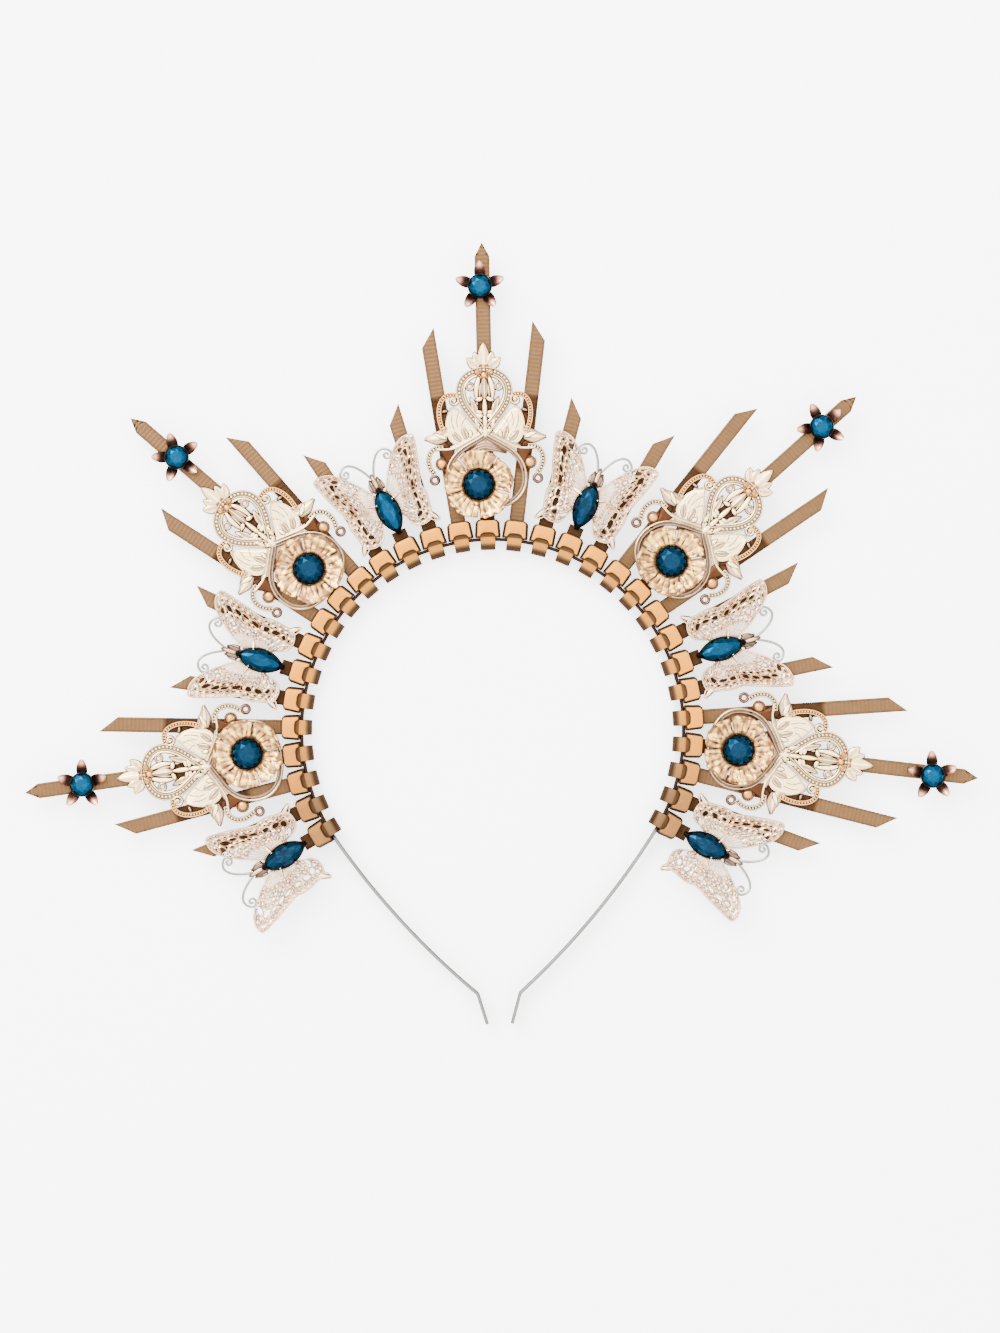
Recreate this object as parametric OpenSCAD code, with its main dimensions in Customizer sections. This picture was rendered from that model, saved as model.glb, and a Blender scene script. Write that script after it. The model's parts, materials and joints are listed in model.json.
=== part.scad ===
// Halo crown: a thin steel headband, a row of cable ties fastened round it whose tails
// stand out as rays, and pierced ornaments with blue stones on the rays.
// It lies on its back: the ties rest on z = 0 and the ornaments face up (+Z).
// +Y is the top of the crown. Angles are in degrees, clockwise from the top.

/* [Headband] */
// Radius of the round stretch, at the middle of the strip
band_r = 61.3; // [60.9:0.1:61.3]
// Thickness of the strip
band_t = 1; // [0.8:0.1:1.2]
// Width of the strip, front to back
band_w = 4.4; // [3.6:0.2:4.4]
// Angle at which the round stretch ends, on each side
band_end_angle = 123.5; // [122:0.5:128]
// Half the distance between the two bends at the bottom
bend_x = 6.8; // [5:0.2:12]
// Distance of the bends below the centre of the round stretch
bend_drop = 84.4; // [80:0.2:95]
// Half the distance between the two ends
band_tip_x = 4; // [2:0.2:8]
// Distance of the two ends below the centre
band_tip_drop = 94.1; // [90:0.2:105]

/* [Cable ties] */
// Angle between two neighbouring ties
pitch = 7.97; // [7.9:0.01:8.1]
// Width of a tie's strap and tail
strap_w = 4.8; // [4:0.1:5.2]
// Thickness of the strap and tail
strap_t = 1.1; // [1:0.05:1.3]
// Width of a head at its inner end
head_in_w = 8.3; // [7.6:0.1:8.3]
// Width of a head at its outer end
head_out_w = 7.7; // [7:0.1:8.2]
// Radius of the inner end of the strap loops
loop_in_r = 57.9; // [57:0.1:58.4]
// Radius of the inner face of the heads
head_in_r = 62; // [62:0.1:62.4]
// Radius of the outer face of the heads
head_out_r = 67.5; // [66:0.1:68]
// Height of the front of the heads
head_top_z = 10.2; // [9.5:0.1:11]
// Chamfer down the two sides of a head's front
head_chamfer = 0.8; // [0.5:0.1:1.2]
// Depth of the arched recess over the strap
recess_depth = 1.7; // [1.2:0.1:2]
// Height of the front of the strap and tail
strap_top_z = 7.8; // [7.6:0.1:8.2]
// Length of the tail left on a tie under a butterfly
stub_len = 3.2; // [2:0.2:4]

/* [Rays] */
// Length of the slanted cut on medium and short rays
cut_len = 6; // [3:0.2:9]
// Length of the two-sided point on long rays
point_len = 4.6; // [2:0.2:8]

/* [Filigree] */
// Thickness of the pierced plate
filigree_t = 1; // [0.8:0.1:1.4]
// Height of the raised lines on the plate
relief_t = 0.5; // [0.3:0.1:0.8]
// Width of the drop-shaped ring
ring_w = 1.3; // [1:0.1:1.6]
// Width of the beaded pear-shaped loop
pear_w = 2; // [1.6:0.1:2.4]

/* [Flowers and stars] */
// Radius of the large round stones
round_stone_r = 4.6; // [4:0.1:4.8]
// Outer radius of the flowers
flower_r = 11.1; // [10:0.1:11.2]
// Radius of the small round stones
star_stone_r = 3.4; // [2.8:0.1:3.5]
// Outer radius of the star settings
star_r = 8.1; // [7.4:0.1:8.4]

/* [Butterflies] */
// Half length of the pointed stones
navette_l = 7.3; // [6.8:0.1:7.4]
// Half width of the pointed stones
navette_w = 3.3; // [3:0.1:3.4]
// Thickness of the wings
wing_t = 0.9; // [0.8:0.1:1.1]
// Angle by which each wing rises to its tip
wing_lift = 7; // [0:1:12]

/* [Hidden] */
$fn = 48;
gap = 0.2;
ease = 0.01;
solder = 0.1;
ornament_z = strap_top_z + gap;
loop_mid_z = strap_top_z / 2;
loop_corner_r = 2.9;
cup_t = 0.5;
round_cup_r = round_stone_r + 0.1 + cup_t;
star_cup_r = star_stone_r + 0.1 + cup_t;

// Reach of the rays from the centre, one row for each group from left to right.
// Columns: short, medium, long, medium, short.
reach = [
    [103.8, 124.8, 151.1, 126.0, 104.3],
    [105.6, 127.9, 153.2, 127.0, 107.1],
    [109.0, 130.4, 156.4, 131.9, 109.7],
    [111.1, 133.6, 158.2, 132.7, 111.8],
    [111.1, 133.1, 156.3, 132.7, 111.1]
];
// Lean of each ray off its radius, in the same rows and columns
lean = [
    [0, 0, -1.0, 0, 0],
    [0, 0, 0, 0, 0],
    [0, 0, 0.2, 0, 0],
    [0, 0, 1.8, 1.5, 0],
    [0, 0, 2.4, 2.0, 0]
];
// Places of the ornaments, one row for each group.
// Columns: radius and lean of the filigree, radius and sideways place of the flower,
// radius and sideways place of the star, turn of the star.
FIL_R = 0;
FIL_LEAN = 1;
FLOWER_R = 2;
FLOWER_X = 3;
STAR_R = 4;
STAR_X = 5;
STAR_TURN = 6;
ornaments = [
    [77.3, -0.7, 78.7, 2.3, 132.4, -1.0, 24],
    [77.6, -2.6, 78.2, 0.9, 133.6, 0.2, 32],
    [80.4, 0.0, 78.7, -2.5, 142.2, -0.6, 0],
    [78.6, 1.8, 78.7, 0.2, 143.2, 2.2, 1],
    [78.5, 3.0, 78.7, 0.4, 141.4, 4.0, -25]
];
// Distance of a butterfly's stone from the centre, and the lean of each one from left to right
butterfly_r = 77.6;
butterfly_lean = [0, 0, -1, 0, 3, 0];

// Ties are numbered from the top, negative to the left
ray_ties = [for (i = [-14:14]) if (abs(i) % 6 != 3) i];
plain_tie_list = [for (i = [-15:6:15]) i];

function two_digits(n) = n < 10 ? str("0", n) : str(n);
ray_names = [for (k = [1:len(ray_ties)]) str("ray_tie_", two_digits(k))];
function names(stem, count) = [for (k = [1:count]) str(stem, k)];
filigree_names = names("filigree_", 5);
flower_names = names("flower_setting_", 5);
round_stone_names = names("round_stone_", 5);
star_names = names("star_setting_", 5);
butterfly_names = names("butterfly_", 6);
navette_names = names("navette_stone_", 6);

// Plane geometry
function polar(angle, r) = [r * sin(angle), r * cos(angle)];
function group_of(i) = floor((i + 15) / 6);
function column_of(i) = i + 14 - 6 * group_of(i);
function ray_reach(i) = reach[group_of(i)][column_of(i)];
function ray_lean(i) = lean[group_of(i)][column_of(i)];
function ray_tip(i) =
    polar(i * pitch, head_out_r) + polar(i * pitch + ray_lean(i), ray_reach(i) - head_out_r);
function bezier(a, b, c, d, n) = [for (k = [0:n]) let (t = k / n, s = 1 - t)
    s * s * s * a + 3 * s * s * t * b + 3 * s * t * t * c + t * t * t * d];
function mirrored(points) = [for (k = [len(points) - 1:-1:0]) [-points[k][0], points[k][1]]];
function unit(v) = v / norm(v);
function side(points, k) = let (
    last = len(points) - 1,
    v = unit(points[min(k + 1, last)] - points[max(k - 1, 0)])) [-v[1], v[0]];

// The crown is centred on its outline
left_x = ray_tip(-12)[0];
right_x = ray_tip(12)[0];
top_y = ray_tip(0)[1];
bottom_y = -band_tip_drop;
centre = [-(left_x + right_x) / 2, -(top_y + bottom_y) / 2, 0];

// A flat stroke of one width along a row of points
module stroke(points, w) {
    last = len(points) - 1;
    polygon(concat(
        [for (k = [0:last]) points[k] + side(points, k) * w / 2],
        [for (k = [last:-1:0]) points[k] - side(points, k) * w / 2]));
}

module both_sides() {
    children();
    mirror([1, 0, 0]) children();
}

module at_angle(angle, r) {
    translate(centre) rotate([0, 0, -angle]) translate([0, r, 0]) children();
}

// Joins flat shapes into one outline and fills the narrow ends of the gaps, as solder does
module joined() {
    offset(delta = -solder) offset(delta = solder) children();
}

module plate(z, t) {
    translate([0, 0, z]) linear_extrude(t) children();
}

// Headband: a strip on edge, round at the top, then two shallow arcs and two short ends.
// Each side arc leaves the round stretch without a bend and runs to the bend.
arc_start = polar(band_end_angle, band_r);
arc_end = [bend_x, -bend_drop];
arc_chord = arc_end - arc_start;
chord_angle = atan2(-arc_chord[1], -arc_chord[0]);
arc_turn = 2 * (180 - band_end_angle - chord_angle);
arc_r = norm(arc_chord) / 2 / sin(arc_turn / 2);
arc_centre = arc_start - polar(band_end_angle, arc_r);
round_steps = 42;
arc_steps = 7;
band_half = concat(
    [for (k = [1:round_steps]) polar(band_end_angle * k / round_steps, band_r)],
    [for (k = [1:arc_steps]) arc_centre + polar(band_end_angle + arc_turn * k / arc_steps, arc_r)],
    [[band_tip_x, -band_tip_drop]]);
band_path = concat(mirrored(band_half), [[0, band_r]], band_half);

module headband() {
    color("gray") translate(centre) plate(loop_mid_z - band_w / 2, band_w)
        stroke(band_path, band_t);
}

// Cable tie, in a frame with its own radius along +Y and the crown's centre at the origin
module tie_profile() {
    back_r = head_in_r + 2.4;
    difference() {
        union() {
            translate([loop_in_r + loop_corner_r, 0])
                square([back_r - loop_in_r - loop_corner_r, strap_top_z]);
            translate([loop_in_r, loop_corner_r])
                square([back_r - loop_in_r, strap_top_z - 2 * loop_corner_r]);
            for (z = [loop_corner_r, strap_top_z - loop_corner_r])
                translate([loop_in_r + loop_corner_r, z]) circle(loop_corner_r);
        }
        translate([loop_in_r + strap_t, loop_corner_r])
            square([head_in_r - loop_in_r - strap_t, strap_top_z - 2 * loop_corner_r]);
        translate([loop_in_r + loop_corner_r, strap_t])
            square([head_in_r - loop_in_r - loop_corner_r, strap_top_z - 2 * strap_t]);
        for (z = [loop_corner_r, strap_top_z - loop_corner_r])
            translate([loop_in_r + loop_corner_r, z]) circle(loop_corner_r - strap_t);
    }
}

module tie_loop() {
    rotate([90, 0, 90]) linear_extrude(strap_w, center = true) tie_profile();
}

// The head is a block, wider at its inner end, with chamfers round its front and an
// arched recess where the strap comes out
module tie_head() {
    depth = head_out_r - head_in_r;
    c = head_chamfer;
    e = head_chamfer * 0.35;
    low_z = strap_t + 0.5;
    half_w = head_in_w / 2;
    recess_r = 2.8;
    difference() {
        intersection() {
            plate(low_z, head_top_z - low_z) translate([0, head_in_r])
                polygon([[-half_w, 0], [half_w, 0], [head_out_w / 2, depth - c],
                    [head_out_w / 2 - c, depth], [c - head_out_w / 2, depth],
                    [-head_out_w / 2, depth - c]]);
            rotate([90, 0, 90]) linear_extrude(head_in_w + 1, center = true)
                polygon([[head_in_r, low_z], [head_out_r, low_z], [head_out_r, head_top_z - e],
                    [head_out_r - e, head_top_z], [head_in_r + e, head_top_z],
                    [head_in_r, head_top_z - e]]);
            translate([0, head_out_r + 1, 0]) rotate([90, 0, 0]) linear_extrude(depth + 2)
                polygon([[-half_w, low_z], [half_w, low_z], [half_w, head_top_z - 2 * c],
                    [half_w - c, head_top_z], [c - half_w, head_top_z],
                    [-half_w, head_top_z - 2 * c]]);
        }
        translate([0, head_in_r + recess_depth - recess_r, strap_top_z])
            cylinder(h = head_top_z, r = recess_r);
    }
}

// A tail from inside the head to its cut end. The cut is 0 for a two-sided point,
// otherwise its sign gives the side of the sharp corner.
module tail(reach_r, lean_angle, cut) {
    h = strap_w / 2;
    inner = -2;
    long = reach_r - head_out_r;
    tip = cut == 0
        ? [[h, long - point_len], [0, long], [-h, long - point_len]]
        : [[h, long - (cut > 0 ? 0 : cut_len)], [-h, long - (cut > 0 ? cut_len : 0)]];
    translate([0, head_out_r, 0]) rotate([0, 0, -lean_angle])
        plate(strap_top_z - strap_t, strap_t) polygon(concat([[-h, inner], [h, inner]], tip));
}

module tie_body() {
    tie_loop();
    tie_head();
}

module ray_tie(k) {
    i = ray_ties[k];
    color("peru") at_angle(i * pitch, 0) {
        tie_body();
        tail(ray_reach(i), ray_lean(i), -sign(column_of(i) - 2));
    }
}

module plain_ties() {
    color("peru") for (i = plain_tie_list) at_angle(i * pitch, 0) {
        tie_body();
        translate([-strap_w / 2, head_out_r - 1, strap_top_z - strap_t])
            cube([strap_w, stub_len + 1, strap_t]);
    }
}

// Filigree, in a frame with its ring's middle at the origin and its tip along +Y.
// The curves are the middle lines of its right half.
ring_top = 14.2;
ring_half_w = 12.3;
ring_low = -8.8;
pear_low = 14.4;
pear_half_w = 8;
pear_mid = 28.4;
pear_top = 35;
finial_tip = 44;
scroll_w = 1.4;
crescent_w = 1.9;
crest = 0.5;
bead = [13.9, 4.6];
bead_r = 2;
curl = [10, 25.2];
curl_r = 1.7;
knot = [2.1, 35];
knot_r = 1.9;
end_eyelet = [16.2, 0.3];
pear_eyelet = [4.4, 29.6];
eyelet_bar_w = 1;
fine_fn = 20;

ring_half = concat(
    bezier([0, ring_top], [3.5, 11.2], [ring_half_w, 9.5], [ring_half_w, 0.5], 8),
    bezier([ring_half_w, 0.5], [ring_half_w, -6], [7, ring_low], [0, ring_low], 7));
pear_half = concat(
    bezier([0, pear_low], [2.5, 19], [pear_half_w, 22.5], [pear_half_w, pear_mid], 7),
    bezier([pear_half_w, pear_mid], [pear_half_w, 32.2], [4.5, pear_top], [0, pear_top], 6));
scroll = bezier([9.4, 25.8], [15, 28.2], [15.6, 20.5], [12.6, 14.4], 9);
crescent = bezier([12.6, 11.2], [18, 11.6], [19.6, 5.4], [15.6, 1.6], 8);
broad_leaf = [[2, 14.2], [7.2, 21.4], [10.9, 22.4], [12.8, 18.6], [13, 14], [10.6, 9.4], [6, 10.6]];
leaf_crest = [[4.4, 14.6], [7.6, 20.2], [10, 21.2], [11.4, 18.2], [11.6, 14.4], [8, 12.6]];
side_leaf = [[11.6, 16], [15.4, 15.4], [19.6, 13.4], [15.8, 11.8], [12.4, 9.8], [10.4, 12]];
spine = [[-ease, 15], [1.6, 15], [0.7, 17.3], [1.7, 19.6], [0.7, 22.4], [1.8, 25.4], [1, 28.4],
    [2.6, 34.6], [-ease, 34.6]];
finial = [[-ease, 35], [2.9, 35.6], [5.4, 38.6], [3.1, 38.5], [3, 40.6], [1.5, 40.6],
    [-ease, finial_tip]];
finial_crest = [[-ease, 36], [1.6, 36.4], [1.1, 39.8], [-ease, finial_tip - 1.2]];

module disc(at, r) {
    translate(at) circle(r, $fn = fine_fn);
}

module eyelet(at, r, hole_r) {
    difference() {
        disc(at, r);
        disc(at, hole_r);
    }
}

module filigree_half() {
    stroke(ring_half, ring_w);
    stroke(pear_half, pear_w);
    stroke(scroll, scroll_w);
    stroke(crescent, crescent_w);
    disc(curl, curl_r);
    disc(bead, bead_r);
    disc(knot, knot_r);
    eyelet(end_eyelet, 1.7, 0.7);
    eyelet(pear_eyelet, 1.6, 0.6);
    translate([1, pear_eyelet[1] - eyelet_bar_w / 2]) square([2.4, eyelet_bar_w]);
    polygon(broad_leaf);
    polygon(side_leaf);
    polygon(spine);
    polygon(finial);
}

// Raised crests along the lines and on the leaves
module filigree_relief() {
    stroke(ring_half, ring_w * crest);
    stroke(pear_half, pear_w * crest);
    stroke(scroll, scroll_w * crest);
    stroke(crescent, crescent_w * crest);
    disc(bead, bead_r * 0.75);
    polygon(leaf_crest);
    polygon(finial_crest);
}

module filigree(g) {
    row = ornaments[g];
    color("mistyrose") at_angle((g - 2) * 6 * pitch, row[FIL_R])
        rotate([0, 0, -row[FIL_LEAN]]) {
            plate(ornament_z, filigree_t) joined() both_sides() filigree_half();
            plate(ornament_z + filigree_t, relief_t) joined() both_sides() filigree_relief();
        }
}

// A dished wall: flat to one radius, then a cone's slope to another, cut to its child's plan
module dish(flat_r, edge_r, z, rise, t) {
    intersection() {
        translate([0, 0, z]) rotate_extrude()
            polygon([[0, 0], [flat_r, 0], [edge_r, rise], [edge_r, rise + t], [flat_r, t], [0, t]]);
        plate(z - 1, rise + t + 2) children();
    }
}

module lobes(count, lobe_r, reach_r, core_r) {
    circle(core_r);
    for (k = [0:count - 1])
        rotate([0, 0, k * 360 / count]) translate([0, reach_r - lobe_r]) circle(lobe_r);
}

// A round cup with a floor, its rim notched into prongs
notch_w = 0.7;
cup_floor = 1 / 3;
notch_from = 0.72;

module cup(r, z, h, notches) {
    difference() {
        plate(z, h) circle(r);
        plate(z + h * cup_floor, h) circle(r - cup_t);
        for (k = [0:notches - 1])
            rotate([0, 0, k * 180 / notches]) translate([-r - 1, -notch_w / 2, z + h * notch_from])
                cube([2 * r + 2, notch_w, h]);
    }
}

// Cut stone: flat table, one ring of crown facets, thin girdle and a pavilion.
// Each row of its points is the same outline scaled.
culet_share = 0.12;
table_share = 0.58;
girdle_t = 0.3;

function ring_points(outline, share, z) = [for (p = outline) [p[0] * share, p[1] * share, z]];

module cut_stone(outline, girdle_z, crown_h, depth) {
    n = len(outline);
    rows = [[culet_share, girdle_z - depth], [1, girdle_z - girdle_t], [1, girdle_z],
        [table_share, girdle_z + crown_h]];
    last = len(rows) - 1;
    polyhedron(
        points = [for (row = rows) each ring_points(outline, row[0], row[1])],
        faces = concat(
            [[for (k = [n - 1:-1:0]) k]],
            [for (j = [0:last - 1], k = [0:n - 1]) let (m = (k + 1) % n)
                [(j + 1) * n + m, (j + 1) * n + k, j * n + k, j * n + m]],
            [[for (k = [0:n - 1]) last * n + k]]));
}

function round_outline(r, n) = [for (k = [0:n - 1]) polar(k * 360 / n, r)];

// Flower setting: five broad petals parted by slits round a dark cup, its foot on the ray
flower_z = ornament_z + filigree_t + relief_t + gap;
flower_cup_h = 3.4;
flower_flat_r = 4;
petal_count = 5;
petal_t = 0.8;
petal_rise = 1.4;
petal_lobe_r = 6.2;
slit_w = 0.7;
slit_from = 6.4;
foot_r = 2.6;

module at_flower(g) {
    at_angle((g - 2) * 6 * pitch, ornaments[g][FLOWER_R])
        translate([ornaments[g][FLOWER_X], 0, 0]) children();
}

module flower_plan() {
    difference() {
        lobes(count = petal_count, lobe_r = petal_lobe_r, reach_r = flower_r, core_r = slit_from);
        for (k = [0:petal_count - 1])
            rotate([0, 0, (k + 0.5) * 360 / petal_count]) translate([-slit_w / 2, slit_from])
                square([slit_w, flower_r]);
    }
}

module flower_setting(g) {
    color("peachpuff") at_flower(g) {
        dish(flower_flat_r, flower_r, flower_z, petal_rise, petal_t)
            flower_plan();
        plate(ornament_z, flower_z + petal_t / 2 - ornament_z) circle(foot_r);
        cup(round_cup_r, flower_z, flower_cup_h, notches = 6);
    }
}

module round_stone(g) {
    color("darkcyan") at_flower(g)
        cut_stone(round_outline(round_stone_r, 16), girdle_z = flower_z + flower_cup_h - 0.5,
            crown_h = 1.5, depth = 1.6);
}

// Star setting: five cupped petals round a small cup, on the ray
star_cup_h = 2.8;
star_flat_r = 4;
star_rise = 1.4;
star_petal_t = 0.9;
star_lobe_r = 1.8;
star_neck_w = 2.6;

module at_star(g) {
    row = ornaments[g];
    at_angle((g - 2) * 6 * pitch, row[STAR_R]) translate([row[STAR_X], 0, 0])
        rotate([0, 0, -row[STAR_TURN]]) children();
}

module star_plan() {
    lobes(count = 5, lobe_r = star_lobe_r, reach_r = star_r, core_r = star_cup_r);
    for (k = [0:4])
        rotate([0, 0, k * 72]) translate([-star_neck_w / 2, 0])
            square([star_neck_w, star_r - star_lobe_r]);
}

module star_setting(g) {
    color("rosybrown") at_star(g) {
        dish(star_flat_r, star_r, ornament_z, star_rise, star_petal_t)
            star_plan();
        cup(star_cup_r, ornament_z, star_cup_h, notches = 5);
    }
}

module star_stones() {
    color("darkcyan") for (g = [0:4]) at_star(g)
        cut_stone(round_outline(star_stone_r, 12), girdle_z = ornament_z + star_cup_h - 0.4,
            crown_h = 1, depth = 1.3);
}

// Butterfly, in a frame with its stone's middle at the origin and its head along +Y
wing_root_x = 1.6;
fore_wing = concat(
    bezier([wing_root_x, 5.4], [4.6, 10.6], [8.2, 15.6], [11.7, 18.2], 6),
    bezier([11.7, 18.2], [13.4, 19.4], [16.4, 20], [17.8, 18.4], 4),
    bezier([17.8, 18.4], [16.8, 12.6], [14.4, 7.6], [13, 2.6], 6),
    [[wing_root_x, 0.4]]);
hind_wing = concat(
    bezier([13, 3], [14.4, -0.6], [12.4, -3.6], [12.3, -7.2], 6),
    [[13.7, -9.6], [11.2, -8.1]],
    bezier([11.2, -8.1], [9, -9], [6.4, -8.8], [5.2, -6.6], 5),
    bezier([5.2, -6.6], [4.2, -4], [3.4, -1.6], [wing_root_x, 2.4], 4));
feeler = bezier([0.4, 11.8], [2.2, 18], [7, 21.6], [9.2, 14.4], 10);
feeler_w = 0.8;
body_point = [[-1.5, 6], [1.5, 6], [0.9, 11], [0, 13.1], [-0.9, 11]];
body_t = 1.4;
butterfly_cup_h = 3.2;
butterfly_floor = 1.1;

module wing() {
    difference() {
        union() {
            polygon(fore_wing);
            polygon(hind_wing);
        }
        wing_gap([7.6, 12.2], 1.9, 27);
        wing_gap([12.9, 12.8], 1.9, 16);
        wing_gap([9, -3], 1.5, 14);
    }
    stroke(feeler, feeler_w);
}

// A long gap between the veins, pointed at both ends
module wing_gap(middle, half_len, turn) {
    translate(middle) rotate([0, 0, -turn]) lens(half_len, half_len * 0.42);
}

// Pointed oval between two arcs
module lens(l, w) {
    r = (l * l + w * w) / 2 / w;
    intersection() {
        translate([r - w, 0]) circle(r, $fn = 96);
        translate([w - r, 0]) circle(r, $fn = 96);
    }
}

function lens_outline(l, w, n) = let (
    r = (l * l + w * w) / 2 / w,
    a = asin(l / r),
    arc = [for (k = [0:n / 2 - 1]) let (b = a - 2 * a * k / (n / 2)) [r * cos(b) - (r - w), r * sin(b)]])
    concat(arc, [for (p = arc) -p]);

module at_butterfly(b) {
    at_angle(plain_tie_list[b] * pitch, butterfly_r)
        rotate([0, 0, -butterfly_lean[b]]) children();
}

module butterfly(b) {
    l = navette_l + 0.15;
    w = navette_w + 0.1;
    color("pink") at_butterfly(b) {
        both_sides() translate([wing_root_x, 0, ornament_z]) rotate([0, -wing_lift, 0])
            translate([-wing_root_x, 0, 0]) linear_extrude(wing_t) wing();
        difference() {
            plate(ornament_z, butterfly_cup_h) lens(l + cup_t, w + cup_t);
            plate(ornament_z + butterfly_floor, butterfly_cup_h) lens(l, w);
        }
        plate(ornament_z, body_t) polygon(body_point);
    }
}

module navette_stone(b) {
    color("darkcyan") at_butterfly(b)
        cut_stone(lens_outline(navette_l, navette_w, 12),
            girdle_z = ornament_z + butterfly_cup_h - 0.3, crown_h = 1.4, depth = 1.6);
}

headband();
plain_ties();
star_stones();
for (k = [0:len(ray_ties) - 1]) {
    ray_tie(k);
}
for (g = [0:4]) {
    filigree(g);
    flower_setting(g);
    round_stone(g);
    star_setting(g);
}
for (b = [0:5]) {
    butterfly(b);
    navette_stone(b);
}
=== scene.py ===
"""Halo crown: painted cable ties on a steel headband, with cast and pierced ornaments and blue stones.

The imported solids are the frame. Each piece here takes the place of one of them and shows its finish and
fine work. Every shape is worked out in millimetres and put into its mesh in metres, in the row frame:
+Y is the top of the crown, +Z comes out of its front, and it lies on z = 0.
"""

import json
import math

import bmesh
import bpy
import numpy as np
from bpy.props import FloatProperty, FloatVectorProperty, PointerProperty
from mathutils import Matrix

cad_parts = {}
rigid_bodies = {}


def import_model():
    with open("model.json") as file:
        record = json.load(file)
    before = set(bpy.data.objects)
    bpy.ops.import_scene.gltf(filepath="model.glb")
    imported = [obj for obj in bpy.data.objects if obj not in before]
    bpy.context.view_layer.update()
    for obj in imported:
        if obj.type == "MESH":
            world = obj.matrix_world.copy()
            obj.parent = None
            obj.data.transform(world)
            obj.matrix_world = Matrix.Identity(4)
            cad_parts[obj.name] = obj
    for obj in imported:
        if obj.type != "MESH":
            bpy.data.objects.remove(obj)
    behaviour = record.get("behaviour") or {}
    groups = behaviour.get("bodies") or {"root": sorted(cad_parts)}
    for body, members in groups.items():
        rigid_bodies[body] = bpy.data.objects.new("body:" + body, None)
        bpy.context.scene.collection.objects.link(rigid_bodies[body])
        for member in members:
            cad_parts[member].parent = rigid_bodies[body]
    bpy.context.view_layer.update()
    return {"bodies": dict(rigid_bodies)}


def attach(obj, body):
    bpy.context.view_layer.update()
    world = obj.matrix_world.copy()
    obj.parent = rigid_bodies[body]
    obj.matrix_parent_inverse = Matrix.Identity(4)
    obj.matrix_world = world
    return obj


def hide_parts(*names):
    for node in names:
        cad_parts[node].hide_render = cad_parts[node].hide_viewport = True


bl_info = {
    "name": "Halo crown",
    "version": (1, 0, 0),
    "blender": (4, 5, 0),
    "location": "3D View > Sidebar > Halo crown",
    "description": "Makes the finished pieces of a halo crown round its packed solids",
    "category": "Add Mesh",
}

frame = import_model()

MM = 0.001
BODY = frame["bodies"][0] if isinstance(frame["bodies"], (list, tuple)) else "root"

# Sizes in millimetres. Those that the solids share have the names of the part's source, in capitals
CENTRE = np.array([-2.444, -31.15, 0.0])
PITCH = 7.97
BAND_R = 61.3
BAND_T = 1.0
BAND_W = 4.4
BAND_END_ANGLE = 123.5
BEND = np.array([6.8, -84.4])
BAND_TIP = np.array([4.0, -94.1])
BAND_MID_Z = 3.9
STRAP_W = 4.8
STRAP_T = 1.1
STRAP_TOP_Z = 7.8
LOOP_IN_R = 57.9
LOOP_CORNER_R = 2.9
HEAD_IN_R = 62.0
HEAD_OUT_R = 67.5
HEAD_IN_W = 8.3
HEAD_OUT_W = 7.7
HEAD_TOP_Z = 10.2
HEAD_CHAMFER = 0.8
RECESS_R = 2.8
RECESS_DEPTH = 1.7
STUB_LEN = 3.2
CUT_LEN = 6.0
POINT_LEN = 4.6
ORNAMENT_Z = 8.0
WING_ROOT_X = 1.6
WING_LIFT = 7.0
NAVETTE_L = 7.3
NAVETTE_W = 3.3
ROUND_STONE_R = 4.6
STAR_STONE_R = 3.4
FLOWER_R = 11.1
FLOWER_Z = 9.7
PETALS = 5
PETAL_LOBE_R = 6.2
PETAL_ROOT_R = 5.0
PETAL_RISE = 1.4
GATHERS = 26
STAR_R = 8.1
CUP_WALL = 0.5
TIES_PER_GROUP = 6

# Reach and lean of the rays; a row for each group from left to right, and in it
# short, medium, long, medium, short
REACH = np.array([
    [103.8, 124.8, 151.1, 126.0, 104.3],
    [105.6, 127.9, 153.2, 127.0, 107.1],
    [109.0, 130.4, 156.4, 131.9, 109.7],
    [111.1, 133.6, 158.2, 132.7, 111.8],
    [111.1, 133.1, 156.3, 132.7, 111.1]])
LEAN = np.array([
    [0, 0, -1.0, 0, 0],
    [0, 0, 0, 0, 0],
    [0, 0, 0.2, 0, 0],
    [0, 0, 1.8, 1.5, 0],
    [0, 0, 2.4, 2.0, 0]])
# Ornaments of each group: radius and lean of the filigree, radius and sideways place of the
# flower, radius, sideways place and turn of the star
ORNAMENTS = [
    dict(fil_r=77.3, fil_lean=-0.7, flower_r=78.7, flower_x=2.3, star_r=132.4, star_x=-1.0, star_turn=24),
    dict(fil_r=77.6, fil_lean=-2.6, flower_r=78.2, flower_x=0.9, star_r=133.6, star_x=0.2, star_turn=32),
    dict(fil_r=80.4, fil_lean=0.0, flower_r=78.7, flower_x=-2.5, star_r=142.2, star_x=-0.6, star_turn=0),
    dict(fil_r=78.6, fil_lean=1.8, flower_r=78.7, flower_x=0.2, star_r=143.2, star_x=2.2, star_turn=1),
    dict(fil_r=78.5, fil_lean=3.0, flower_r=78.7, flower_x=0.4, star_r=141.4, star_x=4.0, star_turn=-25)]
BUTTERFLY_R = 77.6
BUTTERFLY_LEAN = [0, 0, -1, 0, 3, 0]
# How brightly each pointed stone catches the light, from left to right
NAVETTE_SHINE = [0.14, 0.48, 0.72, 0.2, 0.58, 0.22]
# Ties are numbered from the top, negative to the left; a group is the ties between two butterflies
RAY_TIES = [i for i in range(-14, 15) if abs(i) % 6 != 3]
PLAIN_TIES = [-15, -9, -3, 3, 9, 15]
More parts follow.
